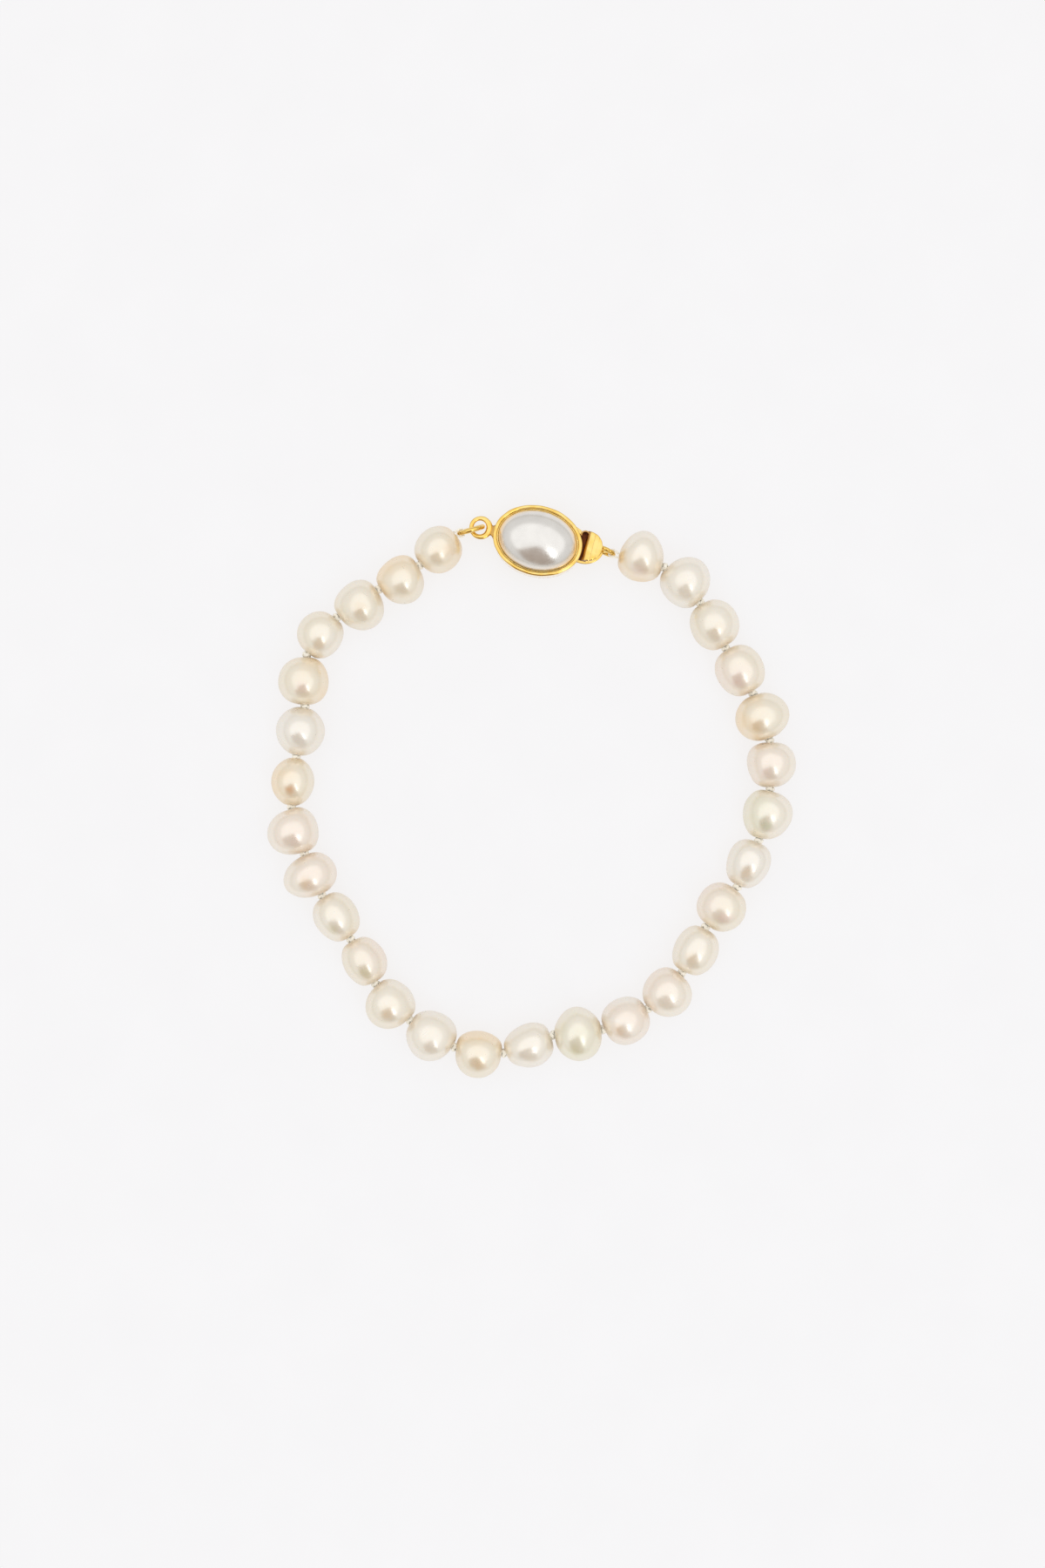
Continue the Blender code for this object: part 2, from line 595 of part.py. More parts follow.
def knot_rings(before, after):
    """Centres and radii of the silk where it is knotted between two mouths."""
    knot = KNOT_DIAMETER / 2
    rings = [(0.0, THREAD_DIAMETER / 2), (0.27, 0.6 * knot), (0.4, knot),
             (0.6, knot), (0.73, 0.6 * knot), (1.0, THREAD_DIAMETER / 2)]
    return [(before.lerp(after, share), radius) for share, radius in rings]


def tube_mesh(name, rings, sides):
    """Round tube along centres with radii, its ends capped."""
    centres = [centre for centre, _ in rings]
    verts = []
    across = None
    for i, (centre, radius) in enumerate(rings):
        forward = (centres[min(i + 1, len(rings) - 1)] - centres[max(i - 1, 0)]).normalized()
        if across is None:
            across = forward.orthogonal()
        across = (across - forward * across.dot(forward)).normalized()
        other = forward.cross(across)
        for j in range(sides):
            turn = 2 * math.pi * j / sides
            verts.append(centre + radius * (math.cos(turn) * across + math.sin(turn) * other))
    faces = grid_faces(len(rings), sides)
    faces += [tuple(range(sides)), tuple(range(len(verts) - sides, len(verts)))]
    return mesh_from(name, verts, faces, smooth_angle=80)


def make_thread(frames, clasp_matrix, parent):
    """Silk through every pearl, knotted between them and looped round the two rings."""
    thread = THREAD_DIAMETER / 2
    mouths = []
    for row, _, frame in frames:
        half = Vector((row["along"] * PEARL_SIZE / 2, 0, 0))
        mouths.append((frame @ -half, frame @ half))

    ends = []
    for own, mid_radius, wire, pearl, side in (
            (tongue_ring_frame(), TONGUE_RING_MID, TONGUE_RING_WIRE, 0, 0),
            (jump_ring_frame(), JUMP_MID, JUMP_WIRE, -1, 1)):
        frame = clasp_matrix @ own
        catch, outward = silk_catch(frame, mid_radius)
        mouth = mouths[pearl][side]
        inwards = (mouths[pearl][1 - side] - mouth).normalized()
        across = frame.to_3x3() @ Vector((0, 0, 1))
        ends.append(end_loop(mouth, inwards, catch, outward, across, wire))

    rings = [(point, thread) for point in ends[0]]
    for (_, before), (after, _) in zip(mouths, mouths[1:]):
        rings += knot_rings(before, after)
    rings += [(point, thread) for point in reversed(ends[1])]
    return add_object("thread", tube_mesh("thread", rings, THREAD_SIDES), SILK, parent)


def centre_outline(root):
    """Move everything so that the middle of the outline is over the origin."""
    bpy.context.view_layer.update()
    corners = []
    for obj in bpy.data.objects:
        if obj.type == "MESH" and not obj.hide_render:
            corners += [obj.matrix_world @ vert.co for vert in obj.data.vertices]
    for axis in (0, 1):
        values = [corner[axis] for corner in corners]
        root.location[axis] = -(min(values) + max(values)) / 2
    bpy.context.view_layer.update()


def main():
    clear_scene()
    root = bpy.data.objects.new("bracelet", None)
    bpy.context.scene.collection.objects.link(root)

    left, right = facing_mouths()
    route = Route()
    half_gap = route.fit(string_length(), (right - left).length)

    tongue_catch, _ = silk_catch(tongue_ring_frame(), TONGUE_RING_MID)
    jump_catch, _ = silk_catch(jump_ring_frame(), JUMP_MID)
    frames = string_frames(route, half_gap, (tongue_catch.z, jump_catch.z))
    for number, (_, verts, frame) in enumerate(frames, start=1):
        name = f"pearl_{number:02d}"
        pearl = add_object(name, pearl_mesh(name, verts), NACRE, root)
        pearl.matrix_local = frame

    clasp_matrix = clasp_frame(route.at(-half_gap), route.at(half_gap))
    make_clasp(root).matrix_local = clasp_matrix
    make_thread(frames, clasp_matrix, root)
    centre_outline(root)


main()
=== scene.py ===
import math

import bmesh
import bpy
import numpy as np
from mathutils import Matrix, Vector, noise


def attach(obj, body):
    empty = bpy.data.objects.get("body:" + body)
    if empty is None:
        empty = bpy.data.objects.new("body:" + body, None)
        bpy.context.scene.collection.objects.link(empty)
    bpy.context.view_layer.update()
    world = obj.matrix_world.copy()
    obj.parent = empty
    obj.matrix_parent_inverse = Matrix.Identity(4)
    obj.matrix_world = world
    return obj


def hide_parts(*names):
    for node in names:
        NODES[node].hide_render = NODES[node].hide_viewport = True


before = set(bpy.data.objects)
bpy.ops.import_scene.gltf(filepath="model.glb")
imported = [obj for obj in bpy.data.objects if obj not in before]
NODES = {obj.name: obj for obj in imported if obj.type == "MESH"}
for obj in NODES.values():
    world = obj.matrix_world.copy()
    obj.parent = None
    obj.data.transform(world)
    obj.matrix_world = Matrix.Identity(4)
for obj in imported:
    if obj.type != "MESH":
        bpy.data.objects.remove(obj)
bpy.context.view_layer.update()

MM = 0.001

# Pearls, as their solids are built: rings of vertices from mouth to mouth
PEARL_COUNT = 28
CAD_SIDES = 14
CAD_ROWS = 9
FINE_SIDES = 70
STEPS_PER_ROW = 5
LIP = 0.09 * MM                  # rounding of the drill hole's edge
HOLE_RADIUS = 0.42 * MM

# Clasp, in the same sizes as its solids
BOX_END = 5.45 * MM
BOX_SIDE = 4.2 * MM
BOX_HEIGHT = 2.6 * MM
SHEET = 0.35 * MM
RIM_TOP = 3.5 * MM
RIM_WIDTH = 0.47 * MM
RIM_CREST = 0.16 * MM            # height of the rim's rounded top
SLOT_PLAY = 0.12 * MM            # room round the tongue in its slot
LUG_MID = 1.165 * MM
LUG_WIRE = 0.47 * MM
LUG_X = -7.10 * MM
NECK_LENGTH = 0.75 * MM
DOME_HEIGHT = 2.35 * MM
GIRDLE = 3.25 * MM
STONE_BOTTOM = 2.72 * MM
STONE_LENGTH = 4.86 * MM
STONE_WIDTH = 3.61 * MM
LEAF = 0.35 * MM
PLATE_TOP = 1.175 * MM
LEAF_TOP = 1.775 * MM
PLATE_WIDTH = 4.3 * MM
PLATE_START = 3.85 * MM
PLATE_TURN = 5.6 * MM
PLATE_NOSE = 2.45 * MM
PLATE_UPPER = 1.35 * MM
PLATE_SHOULDER = ((5.2 * MM, 2.55 * MM), (4.5 * MM, 2.85 * MM))
LEAF_WIDTH = 3.3 * MM
LEAF_START = -2.55 * MM
TONGUE_Y = 0.95 * MM
EYE_X = 7.28 * MM
EYE_Y = 1.15 * MM
EYE_RADIUS = 0.47 * MM
TAB_X = 6.05 * MM
TAB_BOTTOM = 2.78 * MM
TAB_WIDTH = 3.6 * MM
TAB_LENGTH = 1.75 * MM
TAB_EDGE = 5.68 * MM
TAB_Y = 0.87 * MM
ROLL = 0.38 * MM
ROLL_DROP = 0.26 * MM
FLUTES = 3
FLUTE = 0.07 * MM
FOLD_X = 5.42 * MM
FOLD_Y = 2.12 * MM
FOLD_REACH = 0.48 * MM
FOLD_SHEET = 0.24 * MM
FOLD_TOP = 3.05 * MM
TROUGH_TURNS = (2.6, 1.9, 1.2, 0.5)  # where the trough follows the arch, in radians

# Rings and silk
RINGS = {"jump_ring": 0.275 * MM, "tongue_ring": 0.25 * MM}
WIRE_FULLNESS = 1.12             # the dressed wire against the solid's facets
SILK_RADIUS = 0.15 * MM
PLIES = 2
TURNS_PER_MM = 1.6
KNOT_SIZE = 0.145 * MM
KNOT_STRAND = 0.23 * MM
CATCH_ANGLE = math.radians(30)
LOOP_CLEARANCE = 0.05 * MM
DOUBLED_OFFSET = 0.17 * MM
DOUBLED_DEPTH = 1.2 * MM

# Stage, in metres
FLOOR_HALF = 1.5
FLOOR_DROP = 0.00002
ROOM_RADIUS = 0.6
ROOM_HEIGHTS = (0.04, 0.13)
ROOM_SIDES = 48
LAMP_HEIGHT = 0.62
STRIP_PLACE = (0.17, -0.23, 0.41)
STRIP_ALONG = (0.09, -0.28, -0.20)
CAMERA_PLACE = (-1.10 * MM, 0.89 * MM, 300 * MM)
CAMERA_LENS = 56.6               # millimetres, for a sensor 36 mm wide


def material(name):
    """A new node material: its tree and its Principled shader."""
    mat = bpy.data.materials.new(name)
    mat.use_nodes = True
    return mat, mat.node_tree, mat.node_tree.nodes["Principled BSDF"]


def add_node(tree, kind, inputs=(), **settings):
    """A node with its settings, and its inputs as values or as links from other nodes."""
    node = tree.nodes.new(kind)
    for key, value in settings.items():
        setattr(node, key, value)
    for key, value in dict(inputs).items():
        if isinstance(value, bpy.types.NodeSocket):
            tree.links.new(value, node.inputs[key])
        else:
            node.inputs[key].default_value = value
    return node


def object_noise(tree, size, detail=2.0, stretch=(1, 1, 1), offset=0.0):
    """Noise whose features are this size in metres."""
    coords = add_node(tree, "ShaderNodeTexCoord").outputs["Object"]
    place = add_node(tree, "ShaderNodeMapping", {"Vector": coords, "Scale": stretch,
                                                 "Location": (offset, 2 * offset, 3 * offset)})
    texture = add_node(tree, "ShaderNodeTexNoise",
                       {"Vector": place.outputs["Vector"], "Scale": 1 / size, "Detail": detail})
    return texture.outputs["Fac"]


def spread(tree, value, low, high, out_low=0.0, out_high=1.0):
    """Value mapped from one range to another."""
    node = add_node(tree, "ShaderNodeMapRange", {"Value": value, "From Min": low, "From Max": high,
                                                 "To Min": out_low, "To Max": out_high})
    return node.outputs["Result"]


def mix_colour(tree, factor, first, second):
    """Mix of two colours, each a value or a socket."""
    node = add_node(tree, "ShaderNodeMix", data_type="RGBA")
    for socket, value in ((node.inputs[0], factor), (node.inputs[6], first), (node.inputs[7], second)):
        if isinstance(value, bpy.types.NodeSocket):
            tree.links.new(value, socket)
        elif isinstance(value, float):
            socket.default_value = value
        else:
            socket.default_value = (*value, 1.0)
    return node.outputs[2]


def bump(tree, height, distance, strength, normal=None):
    """Relief in the shading, over another one if that is given."""
    inputs = {"Height": height, "Distance": distance, "Strength": strength}
    if normal is not None:
        inputs["Normal"] = normal
    return add_node(tree, "ShaderNodeBump", inputs).outputs["Normal"]


def nacre_material(number):
    """Cream nacre: its body colour is painted on the pearl, with fine growth texture over it."""
    mat, tree, shader = material(f"nacre_{number:02d}")
    paint = add_node(tree, "ShaderNodeVertexColor", layer_name="nacre").outputs["Color"]
    seed = 0.37 * number
    mottle = spread(tree, object_noise(tree, 0.55 * MM, 3.0, offset=seed), 0.35, 0.7)
    warm = mix_colour(tree, 0.10, paint, (0.80, 0.66, 0.48))
    tree.links.new(mix_colour(tree, mottle, paint, warm), shader.inputs["Base Color"])
    gloss = spread(tree, object_noise(tree, 1.1 * MM, 2.0, offset=seed + 5), 0.3, 0.7, 0.27, 0.38)
    tree.links.new(gloss, shader.inputs["Roughness"])
    waves = bump(tree, object_noise(tree, 0.60 * MM, 2.0, (1.6, 0.7, 1), seed + 9), 0.010 * MM, 0.6)
    grain = bump(tree, object_noise(tree, 0.15 * MM, 2.0, offset=seed), 0.0006 * MM, 0.5, waves)
    tree.links.new(grain, shader.inputs["Normal"])
    shader.inputs["Metallic"].default_value = 0.24
    shader.inputs["IOR"].default_value = 2.0
    facing = add_node(tree, "ShaderNodeLayerWeight", {"Blend": 0.5}).outputs["Facing"]
    tree.links.new(spread(tree, facing, 0.45, 0.9, 1.0, 0.1), shader.inputs["Coat Weight"])
    shader.inputs["Coat IOR"].default_value = 2.25
    shader.inputs["Coat Roughness"].default_value = 0.22
    shader.inputs["Subsurface Weight"].default_value = 0.08
    shader.inputs["Subsurface Radius"].default_value = (1.0, 0.62, 0.35)
    shader.inputs["Subsurface Scale"].default_value = 0.6 * MM
    return mat


def gold_material(name, seed, deep=(0.82, 0.51, 0.06), pale=(0.92, 0.66, 0.19)):
    """Warm yellow gold, a little hammered, with fine scratches under a clear lacquer."""
    mat, tree, shader = material(name)
    patches = spread(tree, object_noise(tree, 1.3 * MM, 2.0, offset=seed), 0.35, 0.65)
    tree.links.new(mix_colour(tree, patches, deep, pale), shader.inputs["Base Color"])
    shader.inputs["Coat Weight"].default_value = 1.0
    shader.inputs["Coat IOR"].default_value = 1.75
    shader.inputs["Coat Roughness"].default_value = 0.12
    gloss = spread(tree, object_noise(tree, 0.5 * MM, 4.0, offset=seed + 3), 0.3, 0.7, 0.10, 0.22)
    tree.links.new(gloss, shader.inputs["Roughness"])
    hammered = bump(tree, object_noise(tree, 0.8 * MM, 1.0, offset=seed + 7), 0.030 * MM, 0.5)
    scratches = object_noise(tree, 0.12 * MM, 3.0, (1.0, 7.0, 1.0), seed + 1)
    tree.links.new(bump(tree, scratches, 0.003 * MM, 0.5, hammered), shader.inputs["Normal"])
    shader.inputs["Metallic"].default_value = 1.0
    return mat


def painted_shade_material():
    """Red-brown painted shade on the gold down in the tongue's fold."""
    mat, tree, shader = material("painted_shade_gold")
    patches = spread(tree, object_noise(tree, 0.5 * MM, 3.0, offset=1.1), 0.3, 0.7)
    tree.links.new(mix_colour(tree, patches, (0.045, 0.007, 0.001), (0.20, 0.045, 0.004)),
                   shader.inputs["Base Color"])
    tree.links.new(bump(tree, patches, 0.02 * MM, 0.6), shader.inputs["Normal"])
    shader.inputs["Metallic"].default_value = 0.7
    shader.inputs["Roughness"].default_value = 0.45
    return mat


def cabochon_material():
    """Silvery imitation pearl: a soft metallic lustre under a clear skin, with a painted reflection of
    the gold rim beside it.
    """
    mat, tree, shader = material("silver_nacre")
    cloud = spread(tree, object_noise(tree, 2.4 * MM, 2.0, offset=1.7), 0.35, 0.65)
    silver = mix_colour(tree, cloud, (0.70, 0.67, 0.63), (0.77, 0.74, 0.695))
    # Painted reflection of the gold rim, ragged at its edge, mixed in as a warm orange tint.
    painted_rim_reflection = add_node(tree, "ShaderNodeVertexColor", layer_name="painted_rim_reflection").outputs["Color"]
    ragged = spread(tree, object_noise(tree, 0.7 * MM, 2.0, offset=6.3), 0.3, 0.7, 0.75, 1.0)
    amber_and_painted_light = add_node(tree, "ShaderNodeMath", {0: painted_rim_reflection, 1: ragged}, operation="MULTIPLY")
    tree.links.new(mix_colour(tree, amber_and_painted_light.outputs[0], silver, (0.93, 0.62, 0.26)),
                   shader.inputs["Base Color"])
    gloss = spread(tree, object_noise(tree, 0.9 * MM, 3.0, offset=4.1), 0.3, 0.7, 0.20, 0.28)
    tree.links.new(gloss, shader.inputs["Roughness"])
    shimmer = object_noise(tree, 0.14 * MM, 3.0, offset=2.2)
    tree.links.new(bump(tree, shimmer, 0.0012 * MM, 0.6), shader.inputs["Normal"])
    shader.inputs["Metallic"].default_value = 0.68
    shader.inputs["Coat Weight"].default_value = 1.0
    shader.inputs["Coat IOR"].default_value = 2.0
    shader.inputs["Coat Roughness"].default_value = 0.22
    return mat


def silk_material():
    """Cream silk: fine fibres along a soft matt strand."""
    mat, tree, shader = material("silk")
    fibres = spread(tree, object_noise(tree, 0.05 * MM, 3.0, (1, 3, 1), 0.4), 0.3, 0.7)
    tree.links.new(mix_colour(tree, fibres, (0.94, 0.88, 0.75), (0.98, 0.95, 0.87)),
                   shader.inputs["Base Color"])
    shader.inputs["Specular IOR Level"].default_value = 0.2
    tree.links.new(bump(tree, fibres, 0.006 * MM, 0.6), shader.inputs["Normal"])
    shader.inputs["Roughness"].default_value = 0.75
    shader.inputs["Sheen Weight"].default_value = 0.15
    return mat


def paper_material():
    """Pale sweep of paper that the bracelet lies on."""
    mat, tree, shader = material("paper")
    tone = spread(tree, object_noise(tree, 9 * MM, 5.0), 0.3, 0.7)
    tree.links.new(mix_colour(tree, tone, (0.085, 0.112, 0.142), (0.095, 0.122, 0.152)),
                   shader.inputs["Base Color"])
    shader.inputs["Roughness"].default_value = 0.9
    shader.inputs["Specular IOR Level"].default_value = 0.1
    shader.inputs["Emission Color"].default_value = (1.0, 0.955, 0.925, 1.0)
    shader.inputs["Emission Strength"].default_value = 0.83
    mat.cycles.emission_sampling = "NONE"
    return mat


def merged(node):
    """Corner points of a CAD node, each once."""
    coords = np.array([v.co for v in NODES[node].data.vertices], float)
    keys = np.round(coords / (0.002 * MM)).astype(int)
    first = np.unique(keys, axis=0, return_index=True)[1]
    return coords[np.sort(first)]


def make_object(name, verts, faces, mat, smooth_angle=45):
    """Mesh object from vertices and faces, smooth apart from its edges."""
    mesh = bpy.data.meshes.new(name)
    mesh.from_pydata([tuple(v) for v in verts], [], faces)
    shell = bmesh.new()
    shell.from_mesh(mesh)
    bmesh.ops.recalc_face_normals(shell, faces=shell.faces)
    shell.to_mesh(mesh)
    shell.free()
    mesh.shade_smooth()
    mesh.set_sharp_from_angle(angle=math.radians(smooth_angle))
    mesh.materials.append(mat)
    obj = bpy.data.objects.new(name, mesh)
    bpy.context.scene.collection.objects.link(obj)
    return obj


def grid_faces(rows, sides, closed=False):
    """Quads between rings of vertices that follow one another."""
    faces = []
    for row in range(rows if closed else rows - 1):
        after = (row + 1) % rows
        for side in range(sides):
            beside = (side + 1) % sides
            faces.append((row * sides + side, row * sides + beside,
                          after * sides + beside, after * sides + side))
    return faces


def loft(rings, closed=False):
    """Vertices and faces of a skin over rings of equal length, its ends capped."""
    sides = len(rings[0])
    verts = [tuple(point) for ring in rings for point in ring]
    faces = grid_faces(len(rings), sides, closed)
    if not closed:
        faces += [tuple(range(sides)), tuple(range(len(verts) - sides, len(verts)))]
    return verts, faces


def join_parts(parts):
    """One list of vertices and faces from several."""
    verts, faces = [], []
    for more_verts, more_faces in parts:
        start = len(verts)
        verts += more_verts
        faces += [tuple(i + start for i in face) for face in more_faces]
    return verts, faces


def tube(points, radii, sides, closed=False):
    """Round skin along a line of points, with one radius or one for each point."""
    count = len(points)
    points = [Vector(p) for p in points]
    radii = radii if hasattr(radii, "__len__") else [radii] * count
    rings = []
    across = None
    for i, point in enumerate(points):
        if closed:
            forward = points[(i + 1) % count] - points[i - 1]
        else:
            forward = points[min(i + 1, count - 1)] - points[max(i - 1, 0)]
        forward.normalize()
        if across is None:
            across = forward.orthogonal()
        across = (across - forward * across.dot(forward)).normalized()
        other = forward.cross(across)
        ring = []
        for j in range(sides):
            turn = 2 * math.pi * j / sides
            offset = radii[i] * (math.cos(turn) * across + math.sin(turn) * other)
            ring.append(point + offset)
        rings.append(ring)
    return loft(rings, closed)


class Pearl:
    """One pearl's own frame and its rings of corner points, read from its solid."""

    def __init__(self, number):
        self.number = number
        points = merged(f"pearl_{number:02d}")
        centre = points.mean(axis=0)
        clockwise = np.array([centre[1], -centre[0], 0.0])
        shell = bmesh.new()
        shell.from_mesh(NODES[f"pearl_{number:02d}"].data)
        spans = [np.array(e.verts[1].co - e.verts[0].co) for e in shell.edges]
        shell.free()
        longest = max(np.linalg.norm(span) for span in spans)
        bore = [span * np.sign(span @ clockwise) for span in spans
                if np.linalg.norm(span) > 0.8 * longest]
        forward = np.sum(bore, axis=0)
        self.forward = forward / np.linalg.norm(forward)
        outside = np.array([-self.forward[1], self.forward[0], 0.0])
        self.outside = outside / np.linalg.norm(outside)
        self.up = np.cross(self.forward, self.outside)
        axes = np.array([self.forward, self.outside, self.up])
        local = (points - centre) @ axes.T
        rows = local[np.argsort(local[:, 0])].reshape(CAD_ROWS, CAD_SIDES, 3)
        mouths = [rows[0].mean(axis=0), rows[-1].mean(axis=0)]
        middle = (mouths[0] + mouths[1]) / 2
        rows = rows - middle
        self.middle = centre + middle @ axes
        self.axes = axes
        self.half = rows[-1, :, 0].mean()
        ordered = []
        for row in rows:
            hub = row[:, 1:].mean(axis=0)
            turns = np.arctan2(row[:, 2] - hub[1], row[:, 1] - hub[0])
            ordered.append(row[np.argsort(turns)])
        self.rows = self.aligned(np.array(ordered))
        self.start = self.middle - self.forward * self.half
        self.end = self.middle + self.forward * self.half

    @staticmethod
    def aligned(rows):
        """Each row starts at its lowest corner."""
        return np.array([np.roll(row, -int(np.argmin(row[:, 2])), axis=0) for row in rows])

    def world(self, local):
        """Places in the pearl's own axes, as places in the frame."""
        return self.middle + local @ self.axes


def fine_rings(rows):
    """Smooth rings through the solid's corner points, finer around and along."""
    spectrum = np.fft.rfft(rows, axis=1)
    fine = np.fft.irfft(spectrum, n=FINE_SIDES, axis=1) * (FINE_SIDES / CAD_SIDES)
    before, after = fine[1].copy(), fine[-2].copy()
    before[:, 1:] = 2 * fine[0][:, 1:] - before[:, 1:]
    after[:, 1:] = 2 * fine[-1][:, 1:] - after[:, 1:]
    chain = np.concatenate([[before], fine, [after]])
    rings = []
    for i in range(1, len(chain) - 2):
        a, b, c, d = chain[i - 1:i + 3]
        for step in range(STEPS_PER_ROW):
            t = step / STEPS_PER_ROW
            rings.append(b + 0.5 * t * (c - a + t * (2 * a - 5 * b + 4 * c - d
                                                     + t * (3 * (b - c) + d - a))))
    rings.append(fine[-1])
    return np.array(rings)


# Overtones of the pearls' body colour
CREAM = (0.80, 0.715, 0.565)
IVORY = (0.815, 0.74, 0.62)
ROSE = (0.82, 0.70, 0.585)
OLIVE = (0.77, 0.72, 0.55)
HONEY = (0.83, 0.65, 0.42)
SILVER = (0.805, 0.745, 0.655)

# One row for each pearl. body: its colour; side: a second colour on one side; angle: that side's
# direction about the pearl, in degrees from the loop's outside; mouths: honey colour at its two
# ends; lumpy: height of its lumps; rings: height of its growth rings.
LOOK_COLUMNS = ("body", "side", "angle", "mouths", "lumpy", "rings")
LOOKS = (
    (IVORY, HONEY, 200, (0.9, 0.3), 0.8, 0.4),
    (SILVER, IVORY, 90, (0.2, 0.2), 0.7, 0.3),
    (CREAM, IVORY, 30, (0.2, 0.3), 1.0, 0.7),
    (CREAM, ROSE, 150, (0.3, 0.2), 0.9, 0.5),
    (CREAM, HONEY, 190, (0.3, 0.2), 0.8, 0.4),
    (IVORY, ROSE, 120, (0.2, 0.2), 1.2, 0.5),
    (IVORY, OLIVE, 170, (0.2, 0.3), 0.8, 0.3),
    (IVORY, SILVER, 60, (0.2, 0.2), 0.8, 0.4),
    (CREAM, ROSE, 180, (0.3, 0.3), 0.9, 0.8),
    (CREAM, IVORY, 100, (0.3, 0.3), 0.7, 0.4),
    (IVORY, ROSE, 140, (0.3, 0.2), 1.0, 0.9),
    (SILVER, ROSE, 80, (0.2, 0.2), 0.9, 0.5),
    (IVORY, OLIVE, 60, (0.2, 0.2), 0.8, 0.4),
    (SILVER, IVORY, 120, (0.2, 0.2), 1.3, 0.4),
    (CREAM, HONEY, 180, (0.5, 0.3), 0.7, 0.3),
    (SILVER, IVORY, 90, (0.2, 0.2), 1.1, 0.5),
    (CREAM, IVORY, 140, (0.3, 0.2), 0.9, 0.6),
    (CREAM, ROSE, 160, (0.2, 0.3), 1.1, 0.6),
    (CREAM, IVORY, 40, (0.3, 0.3), 0.8, 0.4),
    (IVORY, ROSE, 110, (0.2, 0.2), 1.1, 0.5),
    (IVORY, ROSE, 100, (0.3, 0.2), 0.9, 0.4),
    (CREAM, HONEY, 10, (0.7, 0.8), 0.6, 0.3),
    (IVORY, SILVER, 70, (0.2, 0.2), 1.2, 0.6),
    (CREAM, HONEY, 200, (0.2, 0.4), 0.8, 0.8),
    (CREAM, IVORY, 170, (0.3, 0.3), 0.8, 0.4),
    (IVORY, CREAM, 100, (0.2, 0.3), 1.0, 0.5),
    (CREAM, HONEY, 20, (0.8, 0.3), 0.8, 0.3),
    (CREAM, HONEY, 200, (0.3, 0.9), 0.8, 0.3),
)


# Patches of stronger overtone, partly the pearls' own colour and partly painted reflection of the dark
# surround just below each highlight: millimetres to the right of and above the pearl's middle as the
# loop is seen from above, radius in millimetres, strength, colour
AMBER_TINT = (0.76, 0.53, 0.29)
ORANGE_TINT = (0.74, 0.42, 0.20)
GREEN_TINT = (0.58, 0.61, 0.40)
OLIVE_TINT = (0.66, 0.60, 0.36)
PINK_TINT = (0.78, 0.58, 0.50)
OVERTONE_AND_REFLECTION_SPOTS = {
    1: (-0.3, -1.5, 1.2, 0.45, PINK_TINT),
    3: (0.5, -0.8, 1.2, 0.25, AMBER_TINT),
    4: (-0.4, -1.5, 1.0, 0.65, PINK_TINT),
    5: (-0.9, -1.1, 1.1, 0.50, AMBER_TINT),
    6: (-0.9, -0.9, 1.0, 0.40, PINK_TINT),
    7: (0.0, -1.3, 0.9, 0.65, GREEN_TINT),
    8: (-0.3, -1.0, 1.2, 0.40, AMBER_TINT),
    9: (0.2, -1.1, 1.0, 0.55, PINK_TINT),
    10: (-0.5, -0.9, 1.1, 0.35, AMBER_TINT),
    12: (-1.0, -0.9, 1.0, 0.40, AMBER_TINT),
    13: (-0.4, -1.8, 0.9, 0.70, OLIVE_TINT),
    15: (0.0, -1.3, 1.0, 0.60, AMBER_TINT),
    17: (-0.5, -1.1, 1.0, 0.45, AMBER_TINT),
    18: (0.4, -1.2, 0.9, 0.65, OLIVE_TINT),
    19: (-0.3, -1.4, 1.0, 0.45, OLIVE_TINT),
    20: (-0.8, -0.9, 1.0, 0.50, AMBER_TINT),
    21: (0.0, -1.2, 1.1, 0.35, PINK_TINT),
    22: (-0.2, -1.0, 0.8, 0.80, ORANGE_TINT),
    24: (-0.3, -0.9, 1.0, 0.50, PINK_TINT),
    25: (-0.1, -1.2, 1.0, 0.40, AMBER_TINT),
    26: (0.4, -0.8, 1.0, 0.35, AMBER_TINT),
    28: (1.6, -0.3, 1.1, 0.55, AMBER_TINT),
}
SPOT_SPHERE = 2.8                # radius of the ball that the patches lie on, in millimetres


def spot_share(point, place, radius, seed):
    """How far a ragged patch, of overtone and of painted reflection, covers a place."""
    ragged = 1 + 0.5 * noise.noise(Vector(point) / 0.7 + Vector((seed, 0, 0)))
    distance = float(np.linalg.norm(point - place)) / radius * ragged
    return max(0.0, 1 - distance ** 2) ** 1.2


def relief(point, look, share, seed):
    """Height of the nacre over the smooth pearl: lumps and growth rings about the hole."""
    place = Vector((point[0] + seed, point[1] - seed, point[2] + 2 * seed))
    height = 0.10 * look["lumpy"] * noise.noise(place / 2.9)
    height += 0.016 * look["lumpy"] * noise.noise(place / 1.1)
    wander = 0.5 * noise.noise(place / 2.0)
    rings = math.sin(2 * math.pi * (point[0] / 0.85 + wander))
    height += 0.010 * look["rings"] * rings * max(0.0, noise.noise(place / 3.1) + 0.35)
    fade = 1 - abs(share) ** 10
    return height * fade * MM


def nacre_colour(point, look, share, seed):
    """Body colour at a place: its second colour on one side, honey round the hole, clouds."""
    place = Vector((point[0] - seed, point[1] + 2 * seed, point[2]))
    cloud = noise.noise(place / 1.9)
    direction = math.atan2(point[2], point[1]) - math.radians(look["angle"])
    side = 0.5 + 0.5 * math.cos(direction) + 0.5 * cloud
    side = min(1.0, max(0.0, side)) ** 2
    colour = np.array(look["body"]) * (1 - side) + np.array(look["side"]) * side
    strength = look["mouths"][0] if share < 0 else look["mouths"][1]
    mouth = strength * max(0.0, abs(share) - 0.55) / 0.45
    mouth = min(1.0, mouth * (1 + 0.6 * cloud))
    return colour * (1 - mouth) + np.array(HONEY) * mouth


